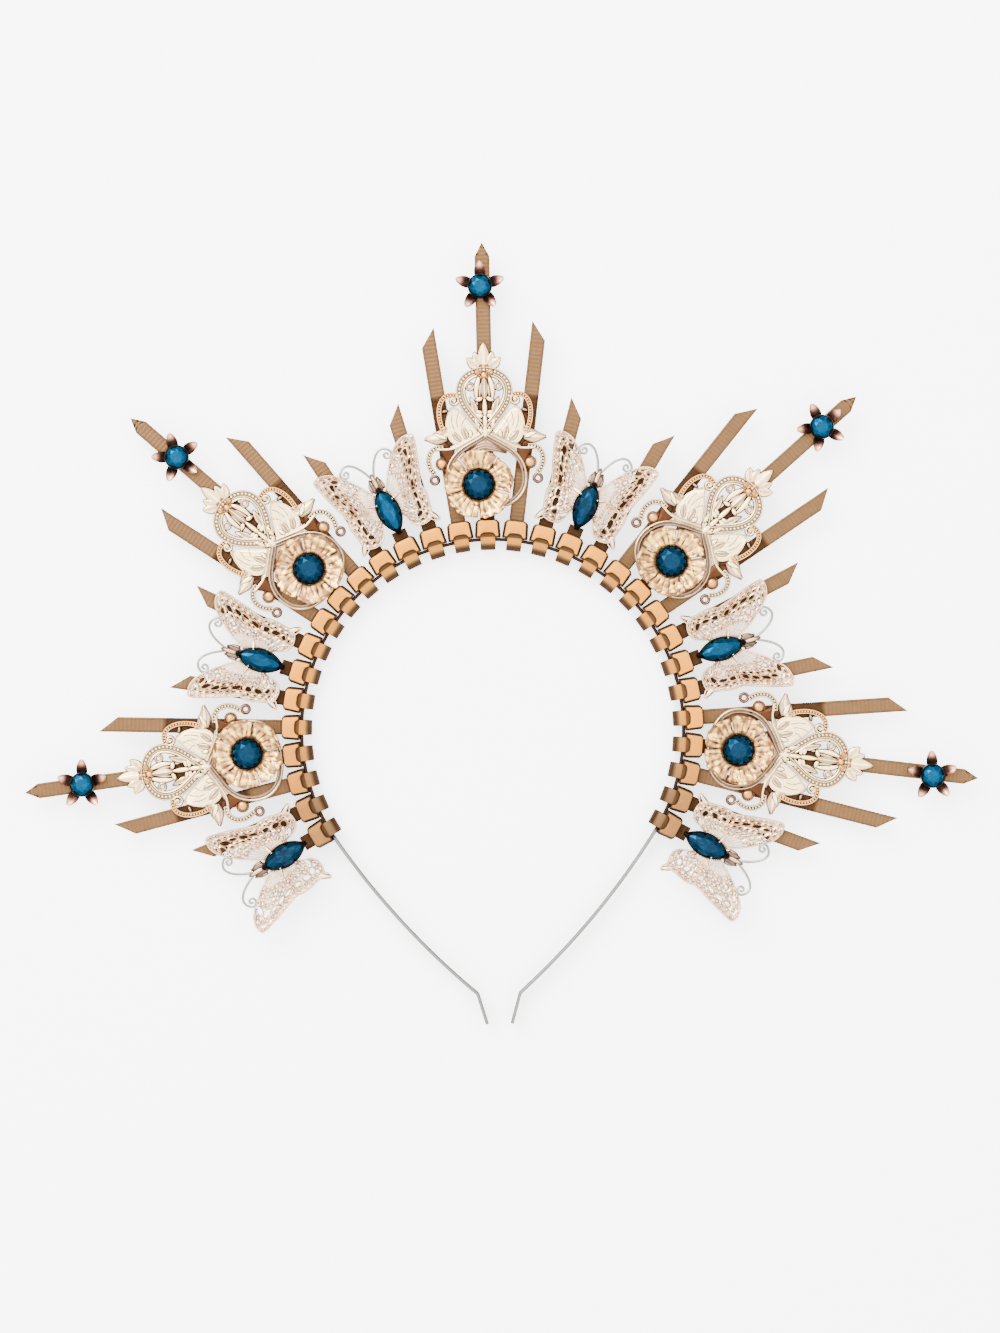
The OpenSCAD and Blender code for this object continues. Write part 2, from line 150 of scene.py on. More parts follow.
# An ornament lies over the rays under it, and they are painted dark as its shadow from this radius, inside
# the head, to so far past its own place; a filigree's sides shade the rays beside it, painted the same way,
# between two distances past that place
SHADE_FROM_R = 66.0
FILIGREE_SHADE = 36.0
FILIGREE_SIDE_SHADE = (2.0, 28.4)
BUTTERFLY_SHADE = 17.0
# Share by which the tails are painted darker towards the head, as painted shade
SHADE_BY_HEAD = 0.3
# Distances in metres at which points that a cut has brought together are merged
WELD_DISTANCE = 2e-6
SHORTEST_EDGE = 1e-6


# Settings that a user may change

def length(name, description, default, least, most):
    """A length setting; its default and its limits are given in millimetres."""
    return FloatProperty(name=name, description=description, default=default * MM, min=least * MM,
                         max=most * MM, precision=5, unit="LENGTH")


def colour(name, description, default):
    """A colour setting with the usual limits."""
    return FloatVectorProperty(name=name, description=description, default=default,
                               min=0, max=1, size=3, subtype="COLOR")


class HaloSizes(bpy.types.PropertyGroup):
    """Sizes of the fine work that the solids leave out."""
    ridge_pitch: length("Ridge pitch", "Distance between two cross ridges of a tail", 1.3, 0.8, 2)
    ridge_depth: length("Ridge depth", "Height of a cross ridge over the floor of the tail",
                        0.12, 0.05, 0.35)
    bead_radius: length("Bead radius", "Radius of the beads in the filigree's beaded lines",
                        0.47, 0.25, 0.6)
    wire_radius: length("Wire radius", "Radius of the wires along the filigree's lines", 0.26, 0.15, 0.4)
    crumple: length("Crumple", "Height of the crumples in the flowers' petals", 0.3, 0, 0.6)
    petal_slit: length("Petal slit", "Width of the slit between two petals of a flower", 0.42, 0.2, 1.2)
    lace_hole: FloatProperty(
        name="Lace hole", description="Size of the holes in the wings, 1 for the usual",
        default=1.0, min=0.5, max=1.4, subtype="FACTOR")


class HaloColours(bpy.types.PropertyGroup):
    """Colours of the finishes, as linear values. Each finish blends its deep, middle and bright colours by
    the tone, so its deep colour is painted shade and its bright colour painted light; the tie face, tail
    and recess colours are one copper paint, painted lit on the flat faces and in painted shade on the tails
    and in the recesses.
    """
    tie_face: colour("Tie face", "Copper paint on flat faces", (0.53, 0.19, 0.0135))
    tie_tail: colour("Tie tail", "Copper paint on the ridged tails", (0.112, 0.059, 0.026))
    tie_recess: colour("Tie recess", "Copper paint in recesses and grooves", (0.022, 0.009, 0.004))
    cast_bright: colour("Cast bright", "Filigree on its polished crests", (1.0, 0.74, 0.37))
    cast_middle: colour("Cast middle", "Filigree on its sloping sides", (0.24, 0.145, 0.09))
    cast_deep: colour("Cast deep", "Filigree in its recesses", (0.03, 0.014, 0.009))
    copper_bright: colour("Copper bright", "Copper parts of the filigree on their crests",
                          (0.8, 0.42, 0.14))
    copper_middle: colour("Copper middle", "Copper parts of the filigree on their sides",
                          (0.15, 0.052, 0.02))
    copper_deep: colour("Copper deep", "Copper parts of the filigree in their recesses",
                        (0.027, 0.0115, 0.006))
    petal_bright: colour("Petal bright", "Flower petals on their crests", (0.97, 0.63, 0.17))
    petal_middle: colour("Petal middle", "Flower petals on their sides", (0.32, 0.15, 0.058))
    petal_deep: colour("Petal deep", "Flower petals in their folds", (0.034, 0.018, 0.01))
    wing_bright: colour("Wing bright", "Lace on its crests", (0.93, 0.66, 0.4))
    wing_middle: colour("Wing middle", "Lace on its sides", (0.32, 0.205, 0.135))
    wing_deep: colour("Wing deep", "Lace in its holes", (0.06, 0.039, 0.029))
    star_bright: colour("Star bright", "Star petals at their tips", (0.62, 0.34, 0.22))
    star_middle: colour("Star middle", "Star petals on their sides", (0.17, 0.062, 0.04))
    feeler: colour("Feeler", "Bare grey wire of the feelers", (0.27, 0.27, 0.225))
    cup_dark: colour("Cup", "Oxidised cups and prongs", (0.008, 0.005, 0.004))
    stone_bright: colour("Stone bright", "Facets that catch the light", (0.0012, 0.044, 0.095))
    stone_deep: colour("Stone deep", "Facets that look into the stone", (0.003, 0.009, 0.019))
    steel: colour("Steel", "Headband", (0.10, 0.096, 0.088))


class HaloStage(bpy.types.PropertyGroup):
    """Camera, floor and light."""
    camera_height: FloatProperty(
        name="Camera height", description="Height of the camera over the crown",
        default=1.4, min=0.8, max=3, unit="LENGTH")
    camera_roll: FloatProperty(
        name="Camera roll", description="Turn of the camera about its own axis",
        default=math.radians(-1.4), subtype="ANGLE")
    view_height: FloatProperty(
        name="View height", description="Height of the photograph's frame at the crown",
        default=0.4266, min=0.2, max=1, unit="LENGTH")
    floor_colour: colour("Floor", "Plain pale floor", (0.94, 0.94, 0.94))
    floor_glow: FloatProperty(
        name="Floor glow", description="Light that the floor gives by itself, as a light table does",
        default=2.5, min=0, max=4)
    sky_strength: FloatProperty(
        name="Sky strength", description="Strength of the light from all round",
        default=6.4, min=0.5, max=12)
    light_power: FloatProperty(
        name="Light power", description="Power of the large soft light",
        default=54, min=1, max=120, unit="POWER")


# Surfaces: each is a set of points and faces as whole arrays

class Shell:
    """One or more closed surfaces: points in millimetres, faces of four and of three points, and for each
    point a tone of painted light and shade, from 0, painted shade deep in a recess, to 1, painted light on
    a crest."""

    def __init__(self, points, quads, tris, tone):
        self.points = np.asarray(points, float)
        self.quads = np.asarray(quads, int).reshape(-1, 4)
        self.tris = np.asarray(tris, int).reshape(-1, 3)
        self.tone = np.broadcast_to(np.asarray(tone, float), (len(self.points),)).copy()

    def moved(self, points):
        """The same faces on other points."""
        return Shell(points, self.quads, self.tris, self.tone)


def outward(shell):
    """Turns all faces over if the enclosed volume, a sum of signed pyramids, comes out negative."""
    corners = np.concatenate([shell.quads[:, [0, 1, 2]], shell.quads[:, [0, 2, 3]], shell.tris])
    a, b, c = (shell.points[corners[:, k]] for k in range(3))
    if np.einsum("ij,ij->", a, np.cross(b, c)) < 0:
        shell.quads = shell.quads[:, ::-1]
        shell.tris = shell.tris[:, ::-1]
    return shell


def together(*shells):
    """One shell from several, which stay apart."""
    starts = np.cumsum([0] + [len(s.points) for s in shells[:-1]])
    return Shell(np.concatenate([s.points for s in shells]),
                 np.concatenate([s.quads + k for s, k in zip(shells, starts)]),
                 np.concatenate([s.tris + k for s, k in zip(shells, starts)]),
                 np.concatenate([s.tone for s in shells]))


def on_both_sides(shell):
    """The shell and its reflection in the plane x = 0."""
    return together(shell, outward(shell.moved(shell.points * [-1, 1, 1])))


def ring_quads(rows, cols, rows_join=False):
    """Faces of a grid whose columns run round: each joins the next, and the last joins the first."""
    r = np.arange(rows if rows_join else rows - 1)[:, None]
    c = np.arange(cols)[None, :]
    up, on = (r + 1) % rows, (c + 1) % cols
    quads = np.stack([r * cols + c, r * cols + on, up * cols + on, up * cols + c], axis=-1)
    return quads.reshape(-1, 4)


def end_fans(rows, cols):
    """Triangles that close the first and the last ring of a grid. Their two middle points come straight
    after the grid's points."""
    c = np.arange(cols)
    on = (c + 1) % cols
    start = (rows - 1) * cols
    return np.concatenate([np.stack([on, c, np.full(cols, rows * cols)], axis=1),
                           np.stack([start + c, start + on, np.full(cols, rows * cols + 1)], axis=1)])


def skin(grid, tone=0.7, last=None):
    """Closed body from a grid of rings: each ring joins the next, and the two end rings are closed by
    triangles to a middle point. It is their mean, unless it is given for the last ring."""
    rows, cols = grid.shape[:2]
    last = grid[-1].mean(axis=0) if last is None else np.asarray(last, float)
    points = np.concatenate([grid.reshape(-1, 3), [grid[0].mean(axis=0), last]])
    tone = np.broadcast_to(np.asarray(tone, float), (rows, cols))
    tone = np.concatenate([tone.ravel(), [tone[0].mean(), tone[-1].mean()]])
    return outward(Shell(points, ring_quads(rows, cols), end_fans(rows, cols), tone))


def rings(rows, angle):
    """Grid of rings about the z axis. Each row is a radius and a height, and both may change round it."""
    return np.stack([np.stack(np.broadcast_arrays(r * np.sin(angle), r * np.cos(angle), h), axis=-1)
                     for r, h in rows])


def hoop(grid, tone=0.7):
    """Closed body from a grid that joins itself in both directions, as a ring does."""
    rows, cols = grid.shape[:2]
    tone = np.broadcast_to(np.asarray(tone, float), (rows, cols)).ravel()
    return outward(Shell(grid.reshape(-1, 3), ring_quads(rows, cols, rows_join=True), [], tone))


def unit(v):
    """Rows of v scaled to length 1."""
    return v / np.maximum(np.linalg.norm(v, axis=-1, keepdims=True), 1e-9)


def bezier(a, b, c, d, steps):
    """Cubic curve from a to d, pulled towards b and c: the four points weighted by the binomials of t."""
    t = np.linspace(0, 1, steps + 1)[:, None]
    a, b, c, d = (np.asarray(p, float) for p in (a, b, c, d))
    return (1 - t) ** 3 * a + 3 * (1 - t) ** 2 * t * b + 3 * (1 - t) * t * t * c + t ** 3 * d


def chain(*curves):
    """Several curves as one row of points; a point that repeats the one before it is dropped."""
    row = np.concatenate([np.asarray(c, float) for c in curves])
    keep = np.ones(len(row), bool)
    keep[1:] = np.linalg.norm(np.diff(row, axis=0), axis=1) > 1e-6
    return row[keep]


def even(path, count):
    """The same line as count points an even distance apart."""
    path = np.asarray(path, float)
    along = np.concatenate([[0], np.cumsum(np.linalg.norm(np.diff(path, axis=0), axis=1))])
    at = np.linspace(0, along[-1], count)
    return np.stack([np.interp(at, along, path[:, k]) for k in range(path.shape[1])], axis=1)


def spaced(path, step):
    """The same line with its points an even distance apart, as near to step as divides it."""
    length = np.linalg.norm(np.diff(path, axis=0), axis=1).sum()
    return even(path, max(int(round(length / step)), 2) + 1)


def eased(corners, count):
    """A soft line along some corners: each stretch is cut at a quarter and at three quarters, twice."""
    path = np.asarray(corners, float)
    for _ in range(2):
        cuts = np.stack([0.75 * path[:-1] + 0.25 * path[1:], 0.25 * path[:-1] + 0.75 * path[1:]], axis=1)
        path = np.concatenate([path[:1], cuts.reshape(-1, path.shape[1]), path[-1:]])
    return even(path, count)


def at_height(path, z):
    """Flat points lifted to the height z."""
    return np.column_stack([path, np.broadcast_to(z, len(path))])


def full_loop(half):
    """A closed loop from its right half, which starts and ends on x = 0; the left half is reflected."""
    return np.concatenate([half, (half * [-1, 1])[::-1][1:-1]])


def tangents(path, closed):
    """Direction of the line at each point, from the point before it to the point after it."""
    if closed:
        return unit(np.roll(path, -1, axis=0) - np.roll(path, 1, axis=0))
    return unit(np.gradient(path, axis=0))


def beside(path, distance, closed=False):
    """A flat line moved to its left by a distance."""
    t = tangents(path, closed)
    return path + np.stack([-t[:, 1], t[:, 0]], axis=1) * distance


def carried(path, profile, size=1.0, closed=False, side=None, tone=0.7):
    """A profile carried along a path. At each point, the profile's first coordinate runs along the side
    direction, which is level and square to the path unless it is given, and its second along the
    direction square to both. size scales the profile at each point."""
    t = tangents(path, closed)
    if side is None:
        side = unit(np.cross([0.0, 0.0, 1.0], t))
    else:
        side = np.broadcast_to(np.asarray(side, float), path.shape)
    up = np.cross(t, side)
    size = np.broadcast_to(np.asarray(size, float), len(path))[:, None, None]
    grid = (path[:, None] + size * profile[None, :, :1] * side[:, None]
            + size * profile[None, :, 1:] * up[:, None])
    return hoop(grid, tone) if closed else skin(grid, tone)


def circle(r, sides):
    """Points round a circle of radius r."""
    a = np.arange(sides) * 2 * np.pi / sides
    return np.stack([r * np.cos(a), r * np.sin(a)], axis=1)


def rounded(corners, r, steps=3):
    """A polygon with its corners rounded: each one is a quadratic curve between two points that lie r
    from it along its edges."""
    corners = np.asarray(corners, float)
    before = corners + r * unit(np.roll(corners, 1, axis=0) - corners)
    after = corners + r * unit(np.roll(corners, -1, axis=0) - corners)
    t = np.linspace(0, 1, steps + 1)[None, :, None]
    curve = (1 - t) ** 2 * before[:, None] + 2 * t * (1 - t) * corners[:, None] + t * t * after[:, None]
    return curve.reshape(-1, 2)


def strip_profile(half_width, low, high, r, steps=3):
    """A rectangle with rounded corners, from low to high and as far to the left as to the right."""
    return rounded([[-half_width, low], [half_width, low], [half_width, high], [-half_width, high]],
                   r, steps)


def wire(path, r, sides=8, closed=False, tone=0.8, foot=0.0):
    """Round wire: a circle carried along the path. Its open ends are rounded by two smaller rings. The
    upper side is painted brighter than the lower by the height of each point in the circle, as painted
    light and shade. A foot, where the wire is cast on to what lies under it, is a flat flange that wide on
    both sides, painted dark as shade in a crevice."""
    profile = circle(r, sides)
    if foot:
        profile = np.concatenate([profile[:sides // 2 + 1], [[-r - foot, -r], [r + foot, -r]]])
    shade = tone * np.clip(0.35 + 0.75 * profile[:, 1] / r, 0.02, 1)
    if closed:
        return carried(path, profile, closed=True, tone=shade)
    t = tangents(path, False)
    ends = np.array([0.95, 0.6])[:, None] * r
    path = np.concatenate([path[:1] - ends * t[:1], path, path[-1:] + ends[::-1] * t[-1:]])
    size = np.ones(len(path))
    size[[0, -1]] = 0.35
    size[[1, -2]] = 0.8
    return carried(path, profile, size=size, tone=shade)


def balls(centres, r, squash=0.8, sides=8, rows=4, tone=0.95):
    """A ball at each centre: rings of latitude, closed at both poles. Its height is scaled by squash, and
    it is painted bright at its top and dark at its foot, as painted light and shade."""
    centres = np.atleast_2d(np.asarray(centres, float))
    lat = np.linspace(-np.pi / 2, np.pi / 2, rows + 2)[1:-1]
    lon = np.arange(sides) * 2 * np.pi / sides
    ring = np.stack([np.cos(lat)[:, None] * np.cos(lon), np.cos(lat)[:, None] * np.sin(lon),
                     np.repeat(np.sin(lat)[:, None], sides, axis=1)], axis=-1).reshape(-1, 3)
    shape = np.concatenate([ring, [[0, 0, -1], [0, 0, 1]]])
    quads, tris = ring_quads(rows, sides), end_fans(rows, sides)
    r = np.broadcast_to(np.asarray(r, float), len(centres))[:, None, None]
    points = centres[:, None] + shape[None] * [1, 1, squash] * r
    shift = np.arange(len(centres))[:, None, None] * len(shape)
    shade = np.tile(tone * np.clip(0.35 + 0.75 * shape[:, 2], 0.05, 1), len(centres))
    return outward(Shell(points.reshape(-1, 3), quads[None] + shift, tris[None] + shift, shade))


def leaf(left, right, z, t, crown=0.3, veins=0, depth=0.12, rise=0.0, tone=(0.35, 1.0), skirt=0.2):
    """A leaf between two edge lines of equal length. Across it the height is the wall t plus a crown that
    is highest in the middle, less the veins, a cosine across the leaf; along it the leaf rises by rise.
    Its tone, painted light and shade, follows the height of crown and veins, and falls off sharply at its
    two edges. Its walls slope out to a foot that is wider by the skirt on each side and painted dark as
    shade."""
    cols = 11 if veins < 3 else 4 * veins + 1
    v = np.linspace(0, 1, cols)
    v = v + 0.09 * np.sin(2 * np.pi * v) * (veins < 3)
    left, right = (at_height(p, z) for p in (left, right))
    across = right - left
    width = np.linalg.norm(across, axis=1)[:, None]
    flat = left[:, None] + across[:, None] * v[None, :, None]
    full = np.clip(width / 1.2, 0.15, 1)
    height = crown * np.sqrt(np.maximum(1 - (2 * v - 1) ** 2, 0))[None] * full
    groove = (1 - np.cos(2 * np.pi * veins * v))[None] / 2 * full
    slope = np.linspace(0, rise, len(left))[:, None]
    top = flat.copy()
    top[..., 2] += t * full + height - depth * groove + slope
    foot = unit(across)[:, None] * skirt
    low = np.stack([right + foot[:, 0], left - foot[:, 0]], axis=1)
    low[..., 2] += slope
    full_tone = tone[1] - 0.7 * (tone[1] - tone[0]) * groove
    edge = np.clip(width * np.minimum(v, 1 - v)[None] / 0.28, 0, 1)
    face = tone[0] + (full_tone - tone[0]) * edge
    grid = np.concatenate([top, low], axis=1)
    return skin(grid, np.concatenate([face, np.full(low.shape[:2], 0.02)], axis=1))


def blade(left, right, count, z, t, **form):
    """A leaf between two soft lines, each through its own corners."""
    return leaf(eased(left, count), eased(right, count), z, t, **form)


def pointed_leaf(start, tip, half_width, bend=0.0, steps=12, **form):
    """A leaf about a straight rib that bends to its left: its half width is the sine of the way along,
    raised to 0.8 so that it swells near its foot."""
    start, tip = np.asarray(start, float), np.asarray(tip, float)
    s = np.linspace(0.02, 0.995, steps)
    along = tip - start
    normal = np.array([-along[1], along[0]]) / np.linalg.norm(along)
    rib = start + s[:, None] * along + (bend * np.sin(np.pi * s))[:, None] * normal
    half = (half_width * np.sin(np.pi * s ** 0.8) ** 0.8 + 0.04)[:, None]
    return leaf(rib + half * normal, rib - half * normal, **form)


def turned(shell, degrees, pivot=0.0):
    """The shell turned clockwise, as seen from the front, about the upright line through (0, pivot)."""
    a = math.radians(degrees)
    x, y, z = (shell.points - [0, pivot, 0]).T
    return shell.moved(np.stack([x * math.cos(a) + y * math.sin(a),
                                 y * math.cos(a) - x * math.sin(a) + pivot, z], axis=1))


def placed(shell, angle, r, x=0.0, turn=0.0):
    """The shell in the row frame: turned by turn, put at (x, r), and then turned about the crown's centre
    to its angle."""
    shell = turned(shell, turn)
    shell = turned(shell.moved(shell.points + [x, r, 0]), angle)
    return shell.moved(shell.points + CENTRE)


def group_angle(g):
    """Angle of the long ray in the middle of a group; the middle group stands at the top."""
    return (g - 2) * TIES_PER_GROUP * PITCH


def make_piece(name, shell, material, nodes, sharp_angle=38.0, merge=False, face_tone=None):
    """Puts the shell into a mesh object that takes the place of its solids, smooth except over edges
    sharper than sharp_angle. face_tone gives flat facets, each with its own tone."""
    mesh = bpy.data.meshes.new(name)
    quads, tris = shell.quads, shell.tris
    mesh.vertices.add(len(shell.points))
    mesh.vertices.foreach_set("co", (shell.points * MM).astype(np.float32).ravel())
    mesh.loops.add(quads.size + tris.size)
    mesh.polygons.add(len(quads) + len(tris))
    starts = np.concatenate([np.arange(len(quads)) * 4, quads.size + np.arange(len(tris)) * 3])
    mesh.polygons.foreach_set("loop_start", starts.astype(np.int32))
    corners = np.concatenate([quads.ravel(), tris.ravel()])
    mesh.polygons.foreach_set("vertices", corners.astype(np.int32))
    mesh.update(calc_edges=True)
    smooth = face_tone is None
    domain, tone = ("POINT", shell.tone) if smooth else ("FACE", face_tone)
    mesh.attributes.new("tone", "FLOAT", domain).data.foreach_set("value", tone.astype(np.float32))
    mesh.polygons.foreach_set("use_smooth", np.full(len(mesh.polygons), smooth))
    if smooth:
        mesh.set_sharp_from_angle(angle=math.radians(sharp_angle))
    mesh.validate()
    obj = bpy.data.objects.new(name, mesh)
    bpy.context.scene.collection.objects.link(obj)
    mesh.materials.append(material)
    if merge:
        weld_points(mesh)
    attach(obj, BODY)
    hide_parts(*nodes)
    return obj


def weld_points(mesh):
    """Merges points that a slanted cut has brought together."""
    bm = bmesh.new()
    bm.from_mesh(mesh)
    bmesh.ops.remove_doubles(bm, verts=bm.verts, dist=WELD_DISTANCE)
    bmesh.ops.dissolve_degenerate(bm, edges=bm.edges, dist=SHORTEST_EDGE)
    bm.to_mesh(mesh)
    bm.free()


# Materials

def feed(tree, node, inputs):
    """Gives input sockets, by name or number, each a value or the output socket that feeds it."""
    for key, value in inputs.items():
        if isinstance(value, bpy.types.NodeSocket):
            tree.links.new(value, node.inputs[key])
        else:
            node.inputs[key].default_value = value


def add_node(tree, kind, inputs=None, **settings):
    """A new node with its settings and what its inputs get."""
    node = tree.nodes.new("ShaderNode" + kind)
    for key, value in settings.items():
        setattr(node, key, value)
    feed(tree, node, inputs or {})
    return node


def group_nodes(name, inputs, outputs):
    """A new shader node group with its sockets: (name, kind, default) in and (name, kind) out."""
    group = bpy.data.node_groups.new(name, "ShaderNodeTree")
    for label, kind, default in inputs:
        socket = group.interface.new_socket(label, in_out="INPUT", socket_type=kind)
        if default is not None:
            socket.default_value = default
    for label, kind in outputs:
        group.interface.new_socket(label, in_out="OUTPUT", socket_type=kind)
    return group, group.nodes.new("NodeGroupInput").outputs, group.nodes.new("NodeGroupOutput")


def tone_colour_group():
    """Colour from the tone: deep to middle up to half, then middle to bright, with a slow mottle that
    moves the tone a little, as plating and patina do."""
    group = bpy.data.node_groups.get("Tone to colour")
    if group:
        return group
    group, given, result = group_nodes(
        "Tone to colour",
        [("Deep", "NodeSocketColor", None), ("Middle", "NodeSocketColor", None),
         ("Bright", "NodeSocketColor", None), ("Mottle", "NodeSocketFloat", 0.2),
         ("Mottle Scale", "NodeSocketFloat", 300.0)],
        [("Color", "NodeSocketColor")])
    tone = add_node(group, "Attribute", attribute_name="tone")
    where = add_node(group, "TexCoord")
    noise = add_node(group, "TexNoise", {"Vector": where.outputs["Object"], "Scale": given["Mottle Scale"],
                                         "Detail": 3.0})
    centred = add_node(group, "Math", {0: noise.outputs["Fac"], 1: 0.5}, operation="SUBTRACT")
    moved = add_node(group, "Math", {0: centred.outputs[0], 1: given["Mottle"], 2: tone.outputs["Fac"]},
                     operation="MULTIPLY_ADD")
    low = add_node(group, "MapRange", {"Value": moved.outputs[0], "From Max": 0.5})
    high = add_node(group, "MapRange", {"Value": moved.outputs[0], "From Min": 0.5})
    lower = add_node(group, "Mix", data_type="RGBA")
    feed(group, lower, {0: low.outputs[0], 6: given["Deep"], 7: given["Middle"]})
    upper = add_node(group, "Mix", data_type="RGBA")
    feed(group, upper, {0: high.outputs[0], 6: lower.outputs[2], 7: given["Bright"]})
    feed(group, result, {"Color": upper.outputs[2]})
    return group


def fine_grain_group():
    """Fine grain of a cast or painted surface: two noises give a roughness about a middle value and a
    shallow bump."""
    group = bpy.data.node_groups.get("Fine grain")
    if group:
        return group
    group, given, result = group_nodes(
        "Fine grain",
        [("Scale", "NodeSocketFloat", 1500.0), ("Bump", "NodeSocketFloat", 0.2),
         ("Roughness", "NodeSocketFloat", 0.3), ("Spread", "NodeSocketFloat", 0.2)],
        [("Roughness", "NodeSocketFloat"), ("Normal", "NodeSocketVector")])
    where = add_node(group, "TexCoord").outputs["Object"]
    fine = add_node(group, "TexNoise", {"Vector": where, "Scale": given["Scale"]})
    coarse = add_node(group, "TexNoise", {"Vector": where, "Scale": 220.0, "Detail": 4.0})
    bump = add_node(group, "Bump", {"Strength": given["Bump"], "Distance": 0.0002,
                                    "Height": fine.outputs["Fac"]})
    centred = add_node(group, "Math", {0: coarse.outputs["Fac"], 1: 0.5}, operation="SUBTRACT")
    rough = add_node(group, "Math", {0: centred.outputs[0], 1: given["Spread"], 2: given["Roughness"]},
                     operation="MULTIPLY_ADD")
    feed(group, result, {"Roughness": rough.outputs[0], "Normal": bump.outputs["Normal"]})
    return group


def finish(name, deep, middle, bright, metallic, roughness, spread=0.2, mottle=0.2, mottle_scale=300.0,
           grain=1500.0, bump=0.2, coat=0.0, specular=0.5, edge=(1.0, 1.0, 1.0)):
    """A material that takes its colour from the tone and its grain from the two shared groups. edge is
    the tint of what it mirrors where it is seen almost from the side."""
    material = bpy.data.materials.get(name)
    if material:
        return material
    material = bpy.data.materials.new(name)
    material.use_nodes = True
    tree = material.node_tree
    tone = add_node(tree, "Group", {"Deep": (*deep, 1), "Middle": (*middle, 1), "Bright": (*bright, 1),
                                    "Mottle": mottle, "Mottle Scale": mottle_scale},
                    node_tree=tone_colour_group())
    surface = add_node(tree, "Group", {"Scale": grain, "Bump": bump, "Roughness": roughness,
                                       "Spread": spread}, node_tree=fine_grain_group())
    feed(tree, tree.nodes["Principled BSDF"], {
        "Metallic": metallic, "Coat Weight": coat, "Coat Roughness": 0.08, "Specular IOR Level": specular,
        "Specular Tint": (*edge, 1), "Base Color": tone.outputs["Color"],
        "Roughness": surface.outputs["Roughness"], "Normal": surface.outputs["Normal"]})
    return material


# Cable ties

def tie_head():
    """The head of a tie, a block from rings that rise. Each ring is the head's plan drawn in by two
    insets, one for its sides and one for its ends, and its inner edge has the arched recess above the
    strap. The inner wall leans a little, so that it doesn't mirror the floor past the headband."""
    half_arch = math.sqrt(RECESS_R ** 2 - (RECESS_R - RECESS_DEPTH) ** 2)
    x = np.linspace(-half_arch, half_arch, 15)
    arch = 0.72 * RECESS_DEPTH * (1 - (x / half_arch) ** 4)
    depth = HEAD_OUT_R - HEAD_IN_R
    c = HEAD_CHAMFER

    def ring(z, side, end, open_recess):
        inner, outer = HEAD_IN_W / 2 - side, HEAD_OUT_W / 2 - side
        corners = rounded([[inner, end], [outer, depth - c], [outer - c, depth - end],
                           [c - outer, depth - end], [-outer, depth - c], [-inner, end]], 0.25)
        edge = np.stack([x, end + open_recess * arch], axis=1)
        return at_height(np.concatenate([edge, corners]), z)

    low, top = STRAP_T + 0.5, HEAD_TOP_Z
    rows = [(low, 0.3, 0.2, 0), (low + 0.12, 0.08, -0.05, 0), (low + 0.35, 0, -0.13, 0),
            (BAND_MID_Z + BAND_W / 2, 0, -0.13, 0), (STRAP_TOP_Z, 0, 0, 0), (STRAP_TOP_Z, 0, 0, 1),
            (top - 1.7, 0, 0.04, 1), (top - 1.5, 0.04, 0.05, 1), (top - 0.3, 0.62, 0.14, 1),
            (top - 0.12, 0.7, 0.2, 1), (top - 0.03, 0.78, 0.26, 1), (top, 0.88, 0.34, 1)]
    grid = np.stack([ring(*row) for row in rows])
    # Painted light and shade: the flat top face is painted bright, and the bevels, walls, corners and the
    # arched recess are painted dark
    tone = np.full(grid.shape[:2], 0.2)
    tone[7:9] = 0.28
    tone[9:11] = [[0.35], [0.42]]
    tone[11] = 1.0
    tone[:9, :len(x)] = 0.24
    tone[9:11, :len(x)] = 0.4
    tone[:9, [-1, -2, -3, -4, len(x), len(x) + 1, len(x) + 2, len(x) + 3]] = 0.1
    shell = skin(grid, tone, last=[0, 3.5, top])
    shell.points[:, 1] += HEAD_IN_R
    shell.tone[-1] = 1.0
    return shell


def tie_loop():
    """The strap round the headband: a flat strip carried round a rounded rectangle that stands in the
    plane of the tie's radius."""
    half = STRAP_T / 2
    bend = LOOP_CORNER_R - half
    a = np.linspace(0, np.pi / 2, 9)
    low = np.stack([LOOP_IN_R + LOOP_CORNER_R - bend * np.sin(a), LOOP_CORNER_R - bend * np.cos(a)], axis=1)
    high = np.stack([low[::-1, 0], STRAP_TOP_Z - low[::-1, 1]], axis=1)
    back = HEAD_IN_R + 2.4 - half
    top = np.array([61.3, 62.0, back])[:, None] * [1, 0] + [0, STRAP_TOP_Z - half]
    line = np.concatenate([[[back, half]], low, high, top])
    path = np.column_stack([np.zeros(len(line)), line])
    shell = carried(path, strip_profile(STRAP_W / 2, -half, half, 0.28), closed=True, side=[1, 0, 0])
    r = shell.points[:, 1]
    # Painted light and shade: the strap is painted dark, a little lighter where it lies in the head's
    # recess, and lit along the top of its upper leg, short of its edges
    lit = np.clip((r - 58.9) / 1.3, 0, 1) * np.clip((62.6 - r) / 1.2, 0, 1) * (shell.points[:, 2] > 5)
    in_recess = 0.3 * np.clip((r - 61.2) / 0.6, 0, 1)
    shell.tone = 0.1 + in_recess + 0.68 * lit * (np.abs(shell.points[:, 0]) < STRAP_W / 2 - 0.1)
    return shell


